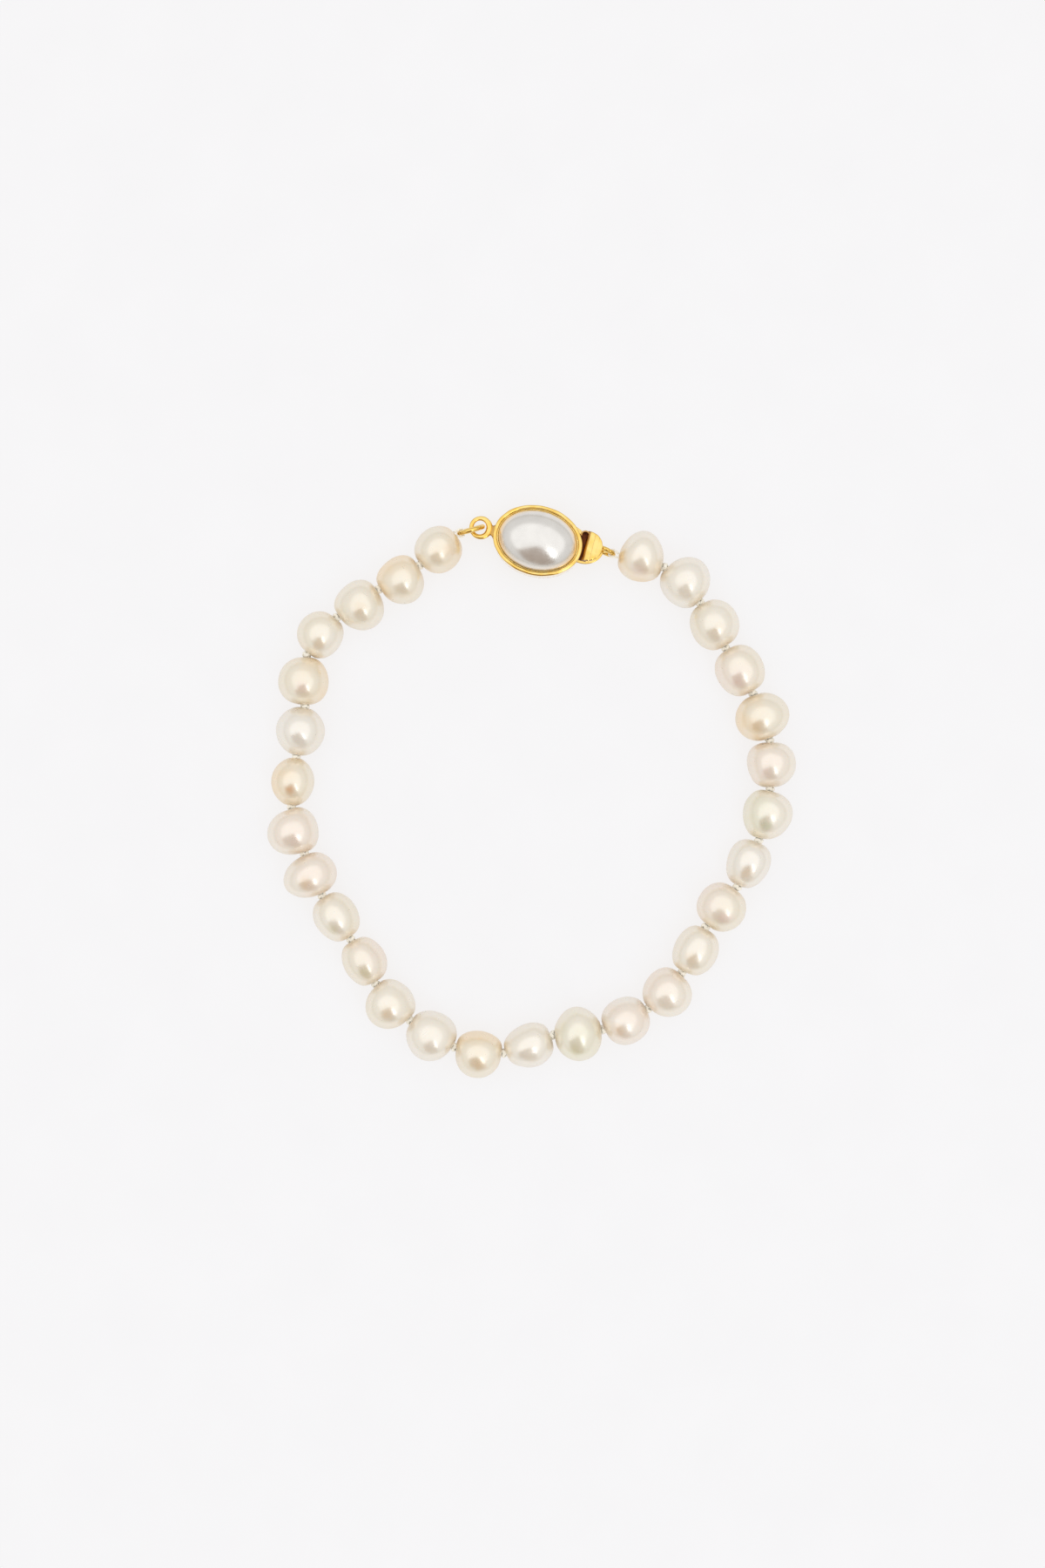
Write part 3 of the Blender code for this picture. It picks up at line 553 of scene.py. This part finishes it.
def make_pearl(pearl, look):
    """Smooth nacre body with a rounded, drilled hole."""
    rings = fine_rings(pearl.rows)
    count = len(rings)
    local = rings.reshape(-1, 3)
    verts = pearl.world(local)
    faces = grid_faces(count, FINE_SIDES)
    obj = make_object(f"pearl_{pearl.number:02d}_nacre", verts, faces,
                      nacre_material(pearl.number))
    mesh = obj.data
    seed = 7.31 * pearl.number
    millimetres = local / MM
    shares = local[:, 0] / pearl.half
    normals = np.array([v.normal for v in mesh.vertices])
    if np.sum(normals * (verts - pearl.middle)) < 0:
        mesh.flip_normals()
        normals = -normals
    spot = OVERTONE_AND_REFLECTION_SPOTS.get(pearl.number)
    if spot:
        right, above, radius, strength, tint = spot
        high = math.sqrt(SPOT_SPHERE ** 2 - right ** 2 - above ** 2)
        spot_place = pearl.axes @ np.array([right, above, high])
    moved = []
    colours = []
    for point, share, place, normal in zip(millimetres, shares, verts, normals):
        moved.append(place + normal * relief(point, look, share, seed))
        colour = nacre_colour(point, look, share, seed)
        # Patch of overtone, partly a painted reflection of the dark surround below the highlight.
        if spot:
            amount = strength * spot_share(point, spot_place, radius, seed)
            colour = colour * (1 - amount) + np.array(tint) * amount
        colours.append((*colour, 1.0))

    # The lip turns into the hole at both ends, and the bore's wall joins them.
    shell_verts = list(moved)
    for end, ring in ((-1, 0), (1, count - 1)):
        for inset, radius in ((0.0, HOLE_RADIUS + 0.3 * LIP), (LIP, HOLE_RADIUS)):
            hub = pearl.middle + pearl.forward * end * (pearl.half - inset)
            for side in range(FINE_SIDES):
                rim = rings[ring][side]
                around = math.atan2(rim[2], rim[1])
                shell_verts.append(hub + radius * (math.cos(around) * pearl.outside
                                                   + math.sin(around) * pearl.up))
                colours.append(colours[ring * FINE_SIDES + side])
    base = count * FINE_SIDES
    chain = [(0, base), (base, base + FINE_SIDES),
             (base + FINE_SIDES, base + 3 * FINE_SIDES),
             (base + 3 * FINE_SIDES, base + 2 * FINE_SIDES),
             (base + 2 * FINE_SIDES, base - FINE_SIDES)]
    for first, second in chain:
        for side in range(FINE_SIDES):
            beside = (side + 1) % FINE_SIDES
            faces.append((first + side, first + beside, second + beside, second + side))
    mat = mesh.materials[0]
    bpy.data.objects.remove(obj)
    obj = make_object(f"pearl_{pearl.number:02d}_nacre", shell_verts, faces, mat, 60)
    layer = obj.data.color_attributes.new("nacre", "FLOAT_COLOR", "POINT")
    layer.data.foreach_set("color", np.array(colours, np.float32).ravel())
    return obj


def finish_piece(obj, node):
    """A piece's body, and the CAD node that it stands for, hidden."""
    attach(obj, "root")
    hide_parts(node)


def clasp_matrix():
    """The clasp's own frame, from the oval underside of its box."""
    points = merged("clasp_box")
    flat = points[points[:, 2] < 0.01 * MM][:, :2]
    centre = (flat.max(axis=0) + flat.min(axis=0)) / 2
    spread_out = flat - centre
    values, vectors = np.linalg.eigh(spread_out.T @ spread_out)
    along = vectors[:, int(np.argmax(values))]
    along = along * np.sign(along[0])
    angle = math.atan2(along[1], along[0])
    return Matrix.Translation((centre[0], centre[1], 0)) @ Matrix.Rotation(angle, 4, "Z")


def oval_ring(inset, height, sides, wobble=None):
    """Ring of the box's oval, this far in from its wall."""
    ring = []
    for i in range(sides):
        turn = 2 * math.pi * i / sides
        extra = wobble(turn) if wobble else (0.0, 0.0)
        ring.append(((BOX_END - inset + extra[0]) * math.cos(turn),
                     (BOX_SIDE - inset + extra[0]) * math.sin(turn), height + extra[1]))
    return ring


def squared(turn, power):
    """Point of a unit circle that is swollen towards a square."""
    a, b = math.cos(turn), math.sin(turn)
    return math.copysign(abs(a) ** power, a), math.copysign(abs(b) ** power, b)


def apply_cut(obj, verts, faces):
    """Cut a shape out of an object for good."""
    cutter = make_object("cutter", verts, faces, obj.data.materials[0])
    modifier = obj.modifiers.new("cut", "BOOLEAN")
    modifier.operation = "DIFFERENCE"
    modifier.solver = "EXACT"
    modifier.object = cutter
    apply_modifiers(obj)
    bpy.data.objects.remove(cutter)


def apply_modifiers(obj):
    """Make what an object's modifiers show its own mesh."""
    deps = bpy.context.evaluated_depsgraph_get()
    deps.update()
    mesh = bpy.data.meshes.new_from_object(obj.evaluated_get(deps))
    obj.modifiers.clear()
    obj.data = mesh


def apply_bevel(obj, width, segments):
    """Round an object's edges for good."""
    modifier = obj.modifiers.new("bevel", "BEVEL")
    modifier.width = width
    modifier.segments = segments
    modifier.limit_method = "ANGLE"
    modifier.angle_limit = math.radians(35)
    apply_modifiers(obj)
    obj.data.shade_smooth()
    obj.data.set_sharp_from_angle(angle=math.radians(60))


def prism(outline, bottom, top):
    """Upright body over an outline, between two heights."""
    rings = [[(x, y, z) for x, y in outline] for z in (bottom, top)]
    return loft(rings)


def box_outline(x0, x1, y0, y1):
    """Corners of an upright box, seen from above."""
    return [(x0, y0), (x1, y0), (x1, y1), (x0, y1)]


def rim_wobble(turn):
    """The burnished rim isn't quite even: it was pushed over the stone by hand."""
    place = Vector((3.0 * math.cos(turn), 3.0 * math.sin(turn), 0.7))
    return 0.035 * MM * noise.noise(place * 1.6), 0.05 * MM * noise.noise(place * 1.3)


def clasp_drum(gold):
    """Hollow oval drum: rounded foot, bezel burnished by hand, and the slot for the tongue."""
    sides = 144
    foot = [(0.30 * MM, 0.0), (0.10 * MM, 0.03 * MM), (0.02 * MM, 0.12 * MM), (0.0, 0.30 * MM)]
    wall = [(0.0, 1.2 * MM), (0.0, 2.2 * MM), (0.01 * MM, RIM_TOP - 0.42 * MM)]
    crest = []
    for step in range(15):
        turn = math.pi * step / 14
        across = math.copysign(abs(math.cos(turn)) ** 0.9, math.cos(turn))
        crest.append((RIM_WIDTH / 2 * (1 - across),
                      RIM_TOP - RIM_CREST + RIM_CREST * math.sin(turn) ** 0.85))
    inner = [(RIM_WIDTH, RIM_TOP - 0.45 * MM), (RIM_WIDTH, BOX_HEIGHT)]
    rings = []
    for inset, height in foot + wall:
        rings.append(oval_ring(inset, height, sides))
    for inset, height in crest:
        rings.append(oval_ring(inset, height, sides, rim_wobble))
    for inset, height in inner:
        rings.append(oval_ring(inset, height, sides))
    box = make_object("clasp_box_gold", *loft(rings), gold)
    cavity = loft([oval_ring(SHEET, SHEET, 64), oval_ring(SHEET, BOX_HEIGHT - SHEET, 64)])
    apply_cut(box, *cavity)
    half = PLATE_WIDTH / 2 + SLOT_PLAY
    slot = box_outline(BOX_END - 2.0 * MM, BOX_END + 0.6 * MM, TONGUE_Y - half, TONGUE_Y + half)
    apply_cut(box, *prism(slot, PLATE_TOP - LEAF - SLOT_PLAY, LEAF_TOP + SLOT_PLAY))
    return box


def soldered_ring():
    """Flat ring at the box's left end, broader where it is soldered on."""
    middle = BOX_HEIGHT / 2
    lug_rings = []
    for i in range(60):
        turn = 2 * math.pi * i / 60
        uneven = 1 + 0.05 * noise.noise(Vector((3 * math.cos(turn), 3 * math.sin(turn), 5)))
        beside_box = ((1 + math.cos(turn)) / 2) ** 2
        half_width = (LUG_WIRE / 2 + 0.03 * MM + 0.12 * MM * beside_box) * uneven
        ring = []
        for j in range(20):
            a, b = squared(2 * math.pi * j / 20, 0.7)
            reach = LUG_MID - 0.02 * MM - 0.10 * MM * beside_box + half_width * a
            ring.append((LUG_X + reach * math.cos(turn), reach * math.sin(turn),
                         middle + LUG_WIRE / 2 * uneven * b))
        lug_rings.append(ring)
    return loft(lug_rings, closed=True)


def solder_neck():
    """Neck of solder between the flat ring and the box."""
    middle = BOX_HEIGHT / 2
    rows = []
    for i in range(9):
        share = i / 8
        x = LUG_X + LUG_MID - 0.05 * MM + share * NECK_LENGTH
        half_width = (0.62 + 0.46 * abs(share - 0.35) ** 1.5 * 2) * MM
        half_height = (0.17 + 0.10 * share) * MM
        ring = []
        for j in range(16):
            a, b = squared(2 * math.pi * j / 16, 0.55)
            ring.append((x, half_width * a, middle + half_height * b))
        rows.append(ring)
    return loft(rows)


def make_clasp_box(gold, amber_and_painted_light):
    """The drum with its soldered ring in gold, and their neck of solder in deeper gold."""
    box = clasp_drum(gold)
    lug = make_object("lug", *soldered_ring(), gold)
    neck = make_object("neck", *solder_neck(), gold)
    box.data.materials.append(amber_and_painted_light)
    shell = bmesh.new()
    shell.from_mesh(box.data)
    for fitting, index in ((lug, 0), (neck, 1)):
        start = len(shell.faces)
        shell.from_mesh(fitting.data)
        for face in list(shell.faces)[start:]:
            face.material_index = index
        bpy.data.objects.remove(fitting)
    shell.to_mesh(box.data)
    shell.free()
    box.data.shade_smooth()
    box.data.set_sharp_from_angle(angle=math.radians(50))
    return box


def make_cabochon(mat):
    """Domed oval with a rounded girdle."""
    sides = 120
    rows = [(0.97, STONE_BOTTOM), (1.0, STONE_BOTTOM + 0.06 * MM)]
    steps = 26
    for i in range(steps):
        rise = math.pi / 2 * i / steps
        rows.append((math.cos(rise), GIRDLE + DOME_HEIGHT * math.sin(rise)))
    rings = [[(STONE_LENGTH * share * math.cos(2 * math.pi * i / sides),
               STONE_WIDTH * share * math.sin(2 * math.pi * i / sides), height)
              for i in range(sides)] for share, height in rows]
    rings.append([(0.0, 0.0, GIRDLE + DOME_HEIGHT)] * sides)
    verts, faces = loft(rings)
    obj = make_object("cabochon_dome", verts, faces[:-1], mat)
    shell = bmesh.new()
    shell.from_mesh(obj.data)
    bmesh.ops.remove_doubles(shell, verts=shell.verts, dist=1e-7)
    shell.to_mesh(obj.data)
    shell.free()
    # Painted reflection of the gold rim in the stone's edge: a warm tint near the girdle, strongest at
    # the long ends.
    painted_rim_reflection = obj.data.color_attributes.new("painted_rim_reflection", "FLOAT_COLOR", "POINT")
    for vert, paint in zip(obj.data.vertices, painted_rim_reflection.data):
        along = vert.co.x / STONE_LENGTH
        reach = math.hypot(along, vert.co.y / STONE_WIDTH)
        amount = min(1.0, max(0.0, (reach - 0.86) / 0.08)) * (0.15 + 0.85 * along * along)
        paint.color = (amount, amount, amount, 1.0)
    return obj


def tongue_plate(gold):
    """Lower leaf of the spring, with the rounded end plate and its eye."""
    half = PLATE_WIDTH / 2
    outline = [(PLATE_START, TONGUE_Y - half)]
    for i in range(33):
        turn = math.pi * (i / 32 - 0.5)
        reach = half if turn < 0 else PLATE_UPPER
        outline.append((PLATE_TURN + PLATE_NOSE * math.cos(turn), TONGUE_Y + reach * math.sin(turn)))
    outline += [*PLATE_SHOULDER, (PLATE_START, TONGUE_Y + half)]
    inner = LEAF_WIDTH / 2
    outline += [(PLATE_START, TONGUE_Y + inner), (LEAF_START, TONGUE_Y + inner),
                (LEAF_START, TONGUE_Y - inner), (PLATE_START, TONGUE_Y - inner)]
    plate = make_object("tongue_gold", *prism(outline, PLATE_TOP - LEAF, PLATE_TOP), gold)
    eye = [(EYE_X + EYE_RADIUS * math.cos(2 * math.pi * i / 28),
            EYE_Y + EYE_RADIUS * math.sin(2 * math.pi * i / 28)) for i in range(28)]
    apply_cut(plate, *prism(eye, PLATE_TOP - 2 * LEAF, PLATE_TOP + LEAF))
    apply_bevel(plate, 0.07 * MM, 3)
    return plate


def upper_leaf(gold):
    """Upper leaf of the spring, folded at its inner end and turned up under the tab."""
    sunk = LEAF / 4
    profile = [(LEAF_START + sunk, PLATE_TOP - LEAF + sunk), (LEAF_START + sunk, LEAF_TOP),
               (TAB_X + sunk, LEAF_TOP), (TAB_X + sunk, TAB_BOTTOM + LEAF / 2),
               (TAB_X + sunk + LEAF, TAB_BOTTOM + LEAF / 2), (TAB_X + sunk + LEAF, LEAF_TOP - LEAF),
               (LEAF_START + LEAF, LEAF_TOP - LEAF), (LEAF_START + LEAF, PLATE_TOP - LEAF + sunk)]
    width = LEAF_WIDTH / 2 - sunk
    leaf_rings = [[(x, TONGUE_Y + side * width, z) for x, z in profile] for side in (-1, 1)]
    leaf = make_object("leaf", *loft(leaf_rings), gold)
    apply_bevel(leaf, 0.06 * MM, 2)
    return leaf


def thumb_tab(gold):
    """Thumb tab: its inner edge rolls over, then shallow flutes follow across it."""
    rings = []
    steps = 72
    length = TAB_X + TAB_LENGTH - TAB_EDGE
    for i in range(steps + 1):
        share = i / steps
        x = TAB_EDGE + length * math.sin(math.pi / 2 * share) ** 1.15
        along = (x - TAB_EDGE) / length
        across = TAB_WIDTH / 2 * math.sqrt(max(0.0, 1 - along ** 2.4)) + 0.02 * MM
        past_roll = (x - TAB_EDGE - ROLL) / (length - ROLL)
        top = TAB_BOTTOM + LEAF - 0.10 * MM * along ** 3
        if past_roll > 0:
            top += FLUTE * abs(math.sin(math.pi * FLUTES * past_roll)) ** 0.6
        else:
            top -= ROLL_DROP * past_roll ** 2 * ((length - ROLL) / ROLL) ** 2
        ring = []
        for j in range(28):
            a, b = squared(2 * math.pi * j / 28, 0.35)
            middle = (TAB_BOTTOM + top) / 2
            ring.append((x, TAB_Y + across * a, middle + (top - TAB_BOTTOM) / 2 * b))
        rings.append(ring)
    return make_object("tab", *loft(rings), gold, 38)


def fold_arch(gold):
    """Arch at the upper end of the sheet's fold, beside the box."""
    wall = FOLD_SHEET / 2
    fold = []
    for i in range(17):
        turn = math.radians(205 - 215 * i / 16)
        x = FOLD_X + FOLD_REACH * math.cos(turn)
        y = FOLD_Y + FOLD_REACH * 0.9 * math.sin(turn)
        side = Vector((math.cos(turn), math.sin(turn))) * wall
        fold.append([(x + side.x * a, y + side.y * a, z) for a, z in
                     ((-1, LEAF_TOP - LEAF), (1, LEAF_TOP - LEAF), (1, FOLD_TOP - wall),
                      (0.5, FOLD_TOP), (-0.5, FOLD_TOP), (-1, FOLD_TOP - wall))])
    return make_object("curl", *loft(fold), gold, 60)


def fold_trough(painted_shade):
    """Block in dark painted shade filling the trough of the sheet's fold, between the box and the tab.
    """
    low = TAB_Y - TAB_WIDTH / 2 + 0.02 * MM
    bed = []
    for i in range(13):
        y = low + (FOLD_Y - low) * i / 12
        bed.append(((BOX_END - 0.1 * MM) * math.sqrt(1 - (y / BOX_SIDE) ** 2), y))
    bed += [(FOLD_X + 0.9 * FOLD_REACH * math.cos(turn), FOLD_Y + 0.8 * FOLD_REACH * math.sin(turn))
            for turn in TROUGH_TURNS]
    bed.append((TAB_X + LEAF / 2, low))
    return make_object("trough", *prism(bed, LEAF_TOP - LEAF / 2, LEAF_TOP + 0.35 * MM), painted_shade)


def make_tongue(gold, painted_shade, amber_and_painted_light):
    """Spring tongue: its two leaves, the thumb tab, and the sheet's fold beside the box; the fold's
    arch and the tab's rolled inner edge are in darker gold as painted shade, and the trough is painted
    shade.
    """
    plate = tongue_plate(gold)
    leaf = upper_leaf(gold)
    tab = thumb_tab(gold)
    curl = fold_arch(gold)
    # The trough is a dark block of painted shade, standing for the shade down in the deep fold.
    trough = fold_trough(painted_shade)
    roll_end = TAB_EDGE + 0.8 * ROLL
    plate.data.materials.append(painted_shade)
    plate.data.materials.append(amber_and_painted_light)
    shell = bmesh.new()
    for piece, index in ((plate, 0), (leaf, 0), (tab, 0), (curl, 2), (trough, 1)):
        start = len(shell.faces)
        shell.from_mesh(piece.data)
        for face in list(shell.faces)[start:]:
            # The tab's rolled inner edge and the fold's arch take the darker gold: painted shade.
            rolled = piece is tab and face.calc_center_median().x < roll_end
            face.material_index = 2 if rolled else index
    shell.to_mesh(plate.data)
    shell.free()
    for piece in (leaf, tab, curl, trough):
        bpy.data.objects.remove(piece)
    return plate


def ring_axes(node, toward):
    """Centre, mid radius and axes of a wire ring: outwards to a point, up, and along its axis."""
    points = merged(node)
    centre = points.mean(axis=0)
    values, vectors = np.linalg.eigh((points - centre).T @ (points - centre))
    axis = Vector(vectors[:, int(np.argmin(values))])
    outward = Vector(toward) - Vector(centre)
    outward.z = 0
    outward = (outward - axis * outward.dot(axis)).normalized()
    up = axis.cross(outward)
    if up.z < 0:
        up = -up
        axis = -axis
    outer = float(max(np.linalg.norm(points - centre, axis=1)))
    return Vector(centre), outer - RINGS[node], outward, up, axis


def make_ring(node, toward, gold, seam):
    """Ring of bent wire with its cut ends pressed together."""
    centre, mid, outward, up, _ = ring_axes(node, toward)
    wire = RINGS[node] * WIRE_FULLNESS
    path = []
    radii = []
    steps = 84
    for i in range(steps):
        turn = 2 * math.pi * i / steps
        wave = 1 + 0.012 * noise.noise(Vector((math.cos(turn) * 2, math.sin(turn) * 2, seam)))
        path.append(centre + mid * wave * (math.cos(turn) * outward + math.sin(turn) * up))
        near = abs((turn - seam + math.pi) % (2 * math.pi) - math.pi)
        radii.append(wire * (0.80 if near < 0.035 else 0.95 if near < 0.11 else 1.0))
    return make_object(node + "_wire", *tube(path, radii, 20, closed=True), gold, 60)


def silk_strand(points, radius):
    """Twisted plies along a line of points."""
    points = [Vector(p) for p in points]
    fine = []
    for a, b in zip(points, points[1:]):
        count = max(2, int((b - a).length / (0.05 * MM)))
        fine += [a.lerp(b, i / count) for i in range(count)]
    fine.append(points[-1])
    parts = []
    for ply in range(PLIES):
        path = []
        travelled = 0.0
        across = None
        for i, point in enumerate(fine):
            forward = (fine[min(i + 1, len(fine) - 1)] - fine[max(i - 1, 0)]).normalized()
            if i:
                travelled += (fine[i] - fine[i - 1]).length
            if across is None:
                across = forward.orthogonal()
            across = (across - forward * across.dot(forward)).normalized()
            other = forward.cross(across)
            turn = 2 * math.pi * (travelled / MM * TURNS_PER_MM + ply / PLIES)
            path.append(point + radius * 0.48 * (math.cos(turn) * across + math.sin(turn) * other))
        parts.append(tube(path, radius * 0.56, 7))
    return parts


def knot(before, after, seed):
    """Overhand knot of the silk, drawn tight between two pearls."""
    before, after = Vector(before), Vector(after)
    middle = (before + after) / 2
    gap = (after - before).length
    forward = (after - before).normalized()
    across = forward.orthogonal().normalized()
    across = Matrix.Rotation(seed * 2.4, 3, forward) @ across
    other = forward.cross(across)
    path = []
    steps = 66
    for i in range(steps):
        t = 2 * math.pi * i / steps
        x = math.sin(t) + 1.7 * math.sin(2 * t)
        y = math.cos(t) - 1.7 * math.cos(2 * t)
        z = -math.sin(3 * t)
        path.append(middle + KNOT_SIZE * (x * across + y * other) + gap * 0.22 * z * forward)
    return tube(path, KNOT_STRAND, 8, closed=True)


def end_loop(mouth, inward, node):
    """Silk out of an end pearl, round a ring's wire and back."""
    centre, mid, outward, up, axis = ring_axes(node, mouth)
    reach = math.cos(CATCH_ANGLE) * outward + math.sin(CATCH_ANGLE) * up
    catch = centre + mid * reach
    bend = RINGS[node] + SILK_RADIUS + LOOP_CLEARANCE
    mouth, inward = Vector(mouth), Vector(inward)
    deep = mouth + inward * DOUBLED_DEPTH
    beside = axis * DOUBLED_OFFSET
    path = [deep - beside, mouth - beside]
    for i in range(17):
        turn = math.pi * i / 16
        path.append(catch - axis * bend * math.cos(turn) - reach * bend * math.sin(turn))
    return path + [mouth + beside, deep + beside]


def make_silk(pearls, mat):
    """Silk through the pearls, with its knots and the loops round the clasp's rings."""
    parts = silk_strand(end_loop(pearls[0].start, pearls[0].forward, "tongue_ring"), SILK_RADIUS)
    parts += silk_strand(end_loop(pearls[-1].end, -pearls[-1].forward, "jump_ring"), SILK_RADIUS)
    for first, second in zip(pearls, pearls[1:]):
        parts.append(knot(first.end, second.start, first.number))
        line = [Vector(first.end) - Vector(first.forward) * 1.5 * MM, Vector(first.end),
                Vector(second.start), Vector(second.start) + Vector(second.forward) * 1.5 * MM]
        parts += silk_strand(line, SILK_RADIUS * 1.1)
    for pearl in pearls:
        parts.append(tube([pearl.start, pearl.end], SILK_RADIUS * 0.9, 8))
    return make_object("silk_thread", *join_parts(parts), mat, 70)


def make_floor():
    """Pale paper under the bracelet."""
    shell = bmesh.new()
    bmesh.ops.create_grid(shell, x_segments=1, y_segments=1, size=FLOOR_HALF)
    mesh = bpy.data.meshes.new("floor")
    shell.to_mesh(mesh)
    shell.free()
    floor = bpy.data.objects.new("floor", mesh)
    floor.location.z = -FLOOR_DROP
    mesh.materials.append(paper_material())
    bpy.context.scene.collection.objects.link(floor)


def make_reflected():
    """A dark card and a dim band round the horizon, which only reflections see."""
    card_mat, _, shader = material("card")
    shader.inputs["Base Color"].default_value = (0.28, 0.165, 0.08, 1.0)
    shader.inputs["Roughness"].default_value = 1.0
    corners = [(-0.30, -0.22, 0.33), (-0.17, -0.15, 0.44), (-0.03, -0.085, 0.49), (0.03, -0.095, 0.49),
               (0.12, -0.23, 0.42), (0.20, -0.43, 0.13), (0.02, -0.48, 0.09), (-0.22, -0.41, 0.16)]
    faces = [(0, 1, 7), (1, 2, 3, 4), (7, 1, 4, 6), (4, 5, 6)]
    card = make_object("dark_card", corners, faces, card_mat)

    room_mat, _, shader = material("room")
    shader.inputs["Base Color"].default_value = (0.58, 0.55, 0.50, 1.0)
    shader.inputs["Roughness"].default_value = 1.0
    turns = np.linspace(0, 2 * math.pi, ROOM_SIDES, endpoint=False)
    walls = [[(ROOM_RADIUS * math.cos(turn), ROOM_RADIUS * math.sin(turn), height) for turn in turns]
             for height in ROOM_HEIGHTS]
    verts, faces = loft(walls)
    room = make_object("dim_room", verts, faces[:-2], room_mat)
    for dim in (card, room):
        dim.visible_camera = False
        dim.visible_shadow = False
        dim.visible_diffuse = False


def oval_light(name, across, deep, watts, tint):
    """Oval area light, facing down until it is turned."""
    light = bpy.data.lights.new(name, "AREA")
    light.shape = "ELLIPSE"
    light.size = across
    light.size_y = deep
    light.energy = watts
    light.color = tint
    lamp = bpy.data.objects.new(name, light)
    bpy.context.scene.collection.objects.link(lamp)
    return lamp


def make_lights():
    """Two soft lights overhead, and a narrow strip of light along the card's right edge."""
    tent = oval_light("tent", 1.4, 1.3, 2.1, (0.95, 0.97, 1.0))
    tent.location = (0.0, 0.02, LAMP_HEIGHT)
    softbox = oval_light("softbox", 0.66, 0.50, 0.66, (0.72, 0.88, 1.0))
    softbox.location = (0.0, -0.04, LAMP_HEIGHT)
    strip = oval_light("strip", 0.08, 0.34, 0.16, (0.90, 0.96, 1.0))
    place = Vector(STRIP_PLACE)
    away = place.normalized()
    along = Vector(STRIP_ALONG)
    along = (along - away * along.dot(away)).normalized()
    turned = Matrix((along.cross(away), along, away)).transposed().to_4x4()
    strip.matrix_world = Matrix.Translation(place) @ turned


def make_world():
    """Even white surround."""
    world = bpy.data.worlds.new("surround")
    bpy.context.scene.world = world
    world.use_nodes = True
    back = world.node_tree.nodes["Background"]
    back.inputs["Color"].default_value = (1.0, 0.99, 0.98, 1.0)
    back.inputs["Strength"].default_value = 0.77


def make_camera():
    """Camera straight above the loop, as in the photo."""
    data = bpy.data.cameras.new("camera")
    data.lens = CAMERA_LENS
    data.sensor_width = 36.0
    data.clip_start = 0.01
    camera = bpy.data.objects.new("camera", data)
    camera.location = CAMERA_PLACE
    bpy.context.scene.collection.objects.link(camera)
    bpy.context.scene.camera = camera


def main():
    """The bracelet's pieces, and then their stage."""
    pearls = [Pearl(number) for number in range(1, PEARL_COUNT + 1)]
    for pearl, values in zip(pearls, LOOKS):
        look = dict(zip(LOOK_COLUMNS, values))
        finish_piece(make_pearl(pearl, look), f"pearl_{pearl.number:02d}")

    gold = gold_material("gold", 0.0)
    # Darker gold: the solder neck's colour, and painted shade on the fold's arch and the tab's rolled
    # edge.
    amber_and_painted_light = gold_material("deep_gold_and_painted_shade", 4.0, (0.40, 0.18, 0.008), (0.68, 0.36, 0.025))
    tongue_gold = gold_material("tongue_gold", 2.0)
    place = clasp_matrix()
    for obj, slot, node in ((make_clasp_box(gold, amber_and_painted_light), "gold", "clasp_box"),
                            (make_cabochon(cabochon_material()), "cabochon", "cabochon"),
                            (make_tongue(tongue_gold, painted_shade_material(), amber_and_painted_light), "gold", "tongue")):
        obj.data.transform(place)
        finish_piece(obj, node)
    wire = gold_material("wire_gold", 5.0)
    finish_piece(make_ring("jump_ring", pearls[-1].end, wire, 2.3), "jump_ring")
    finish_piece(make_ring("tongue_ring", pearls[0].start, wire, 1.2), "tongue_ring")
    finish_piece(make_silk(pearls, silk_material()), "thread")
    make_floor()
    make_reflected()
    make_lights()
    make_world()
    make_camera()
    bpy.context.scene.view_settings.view_transform = "Standard"


main()
bpy.context.view_layer.update()
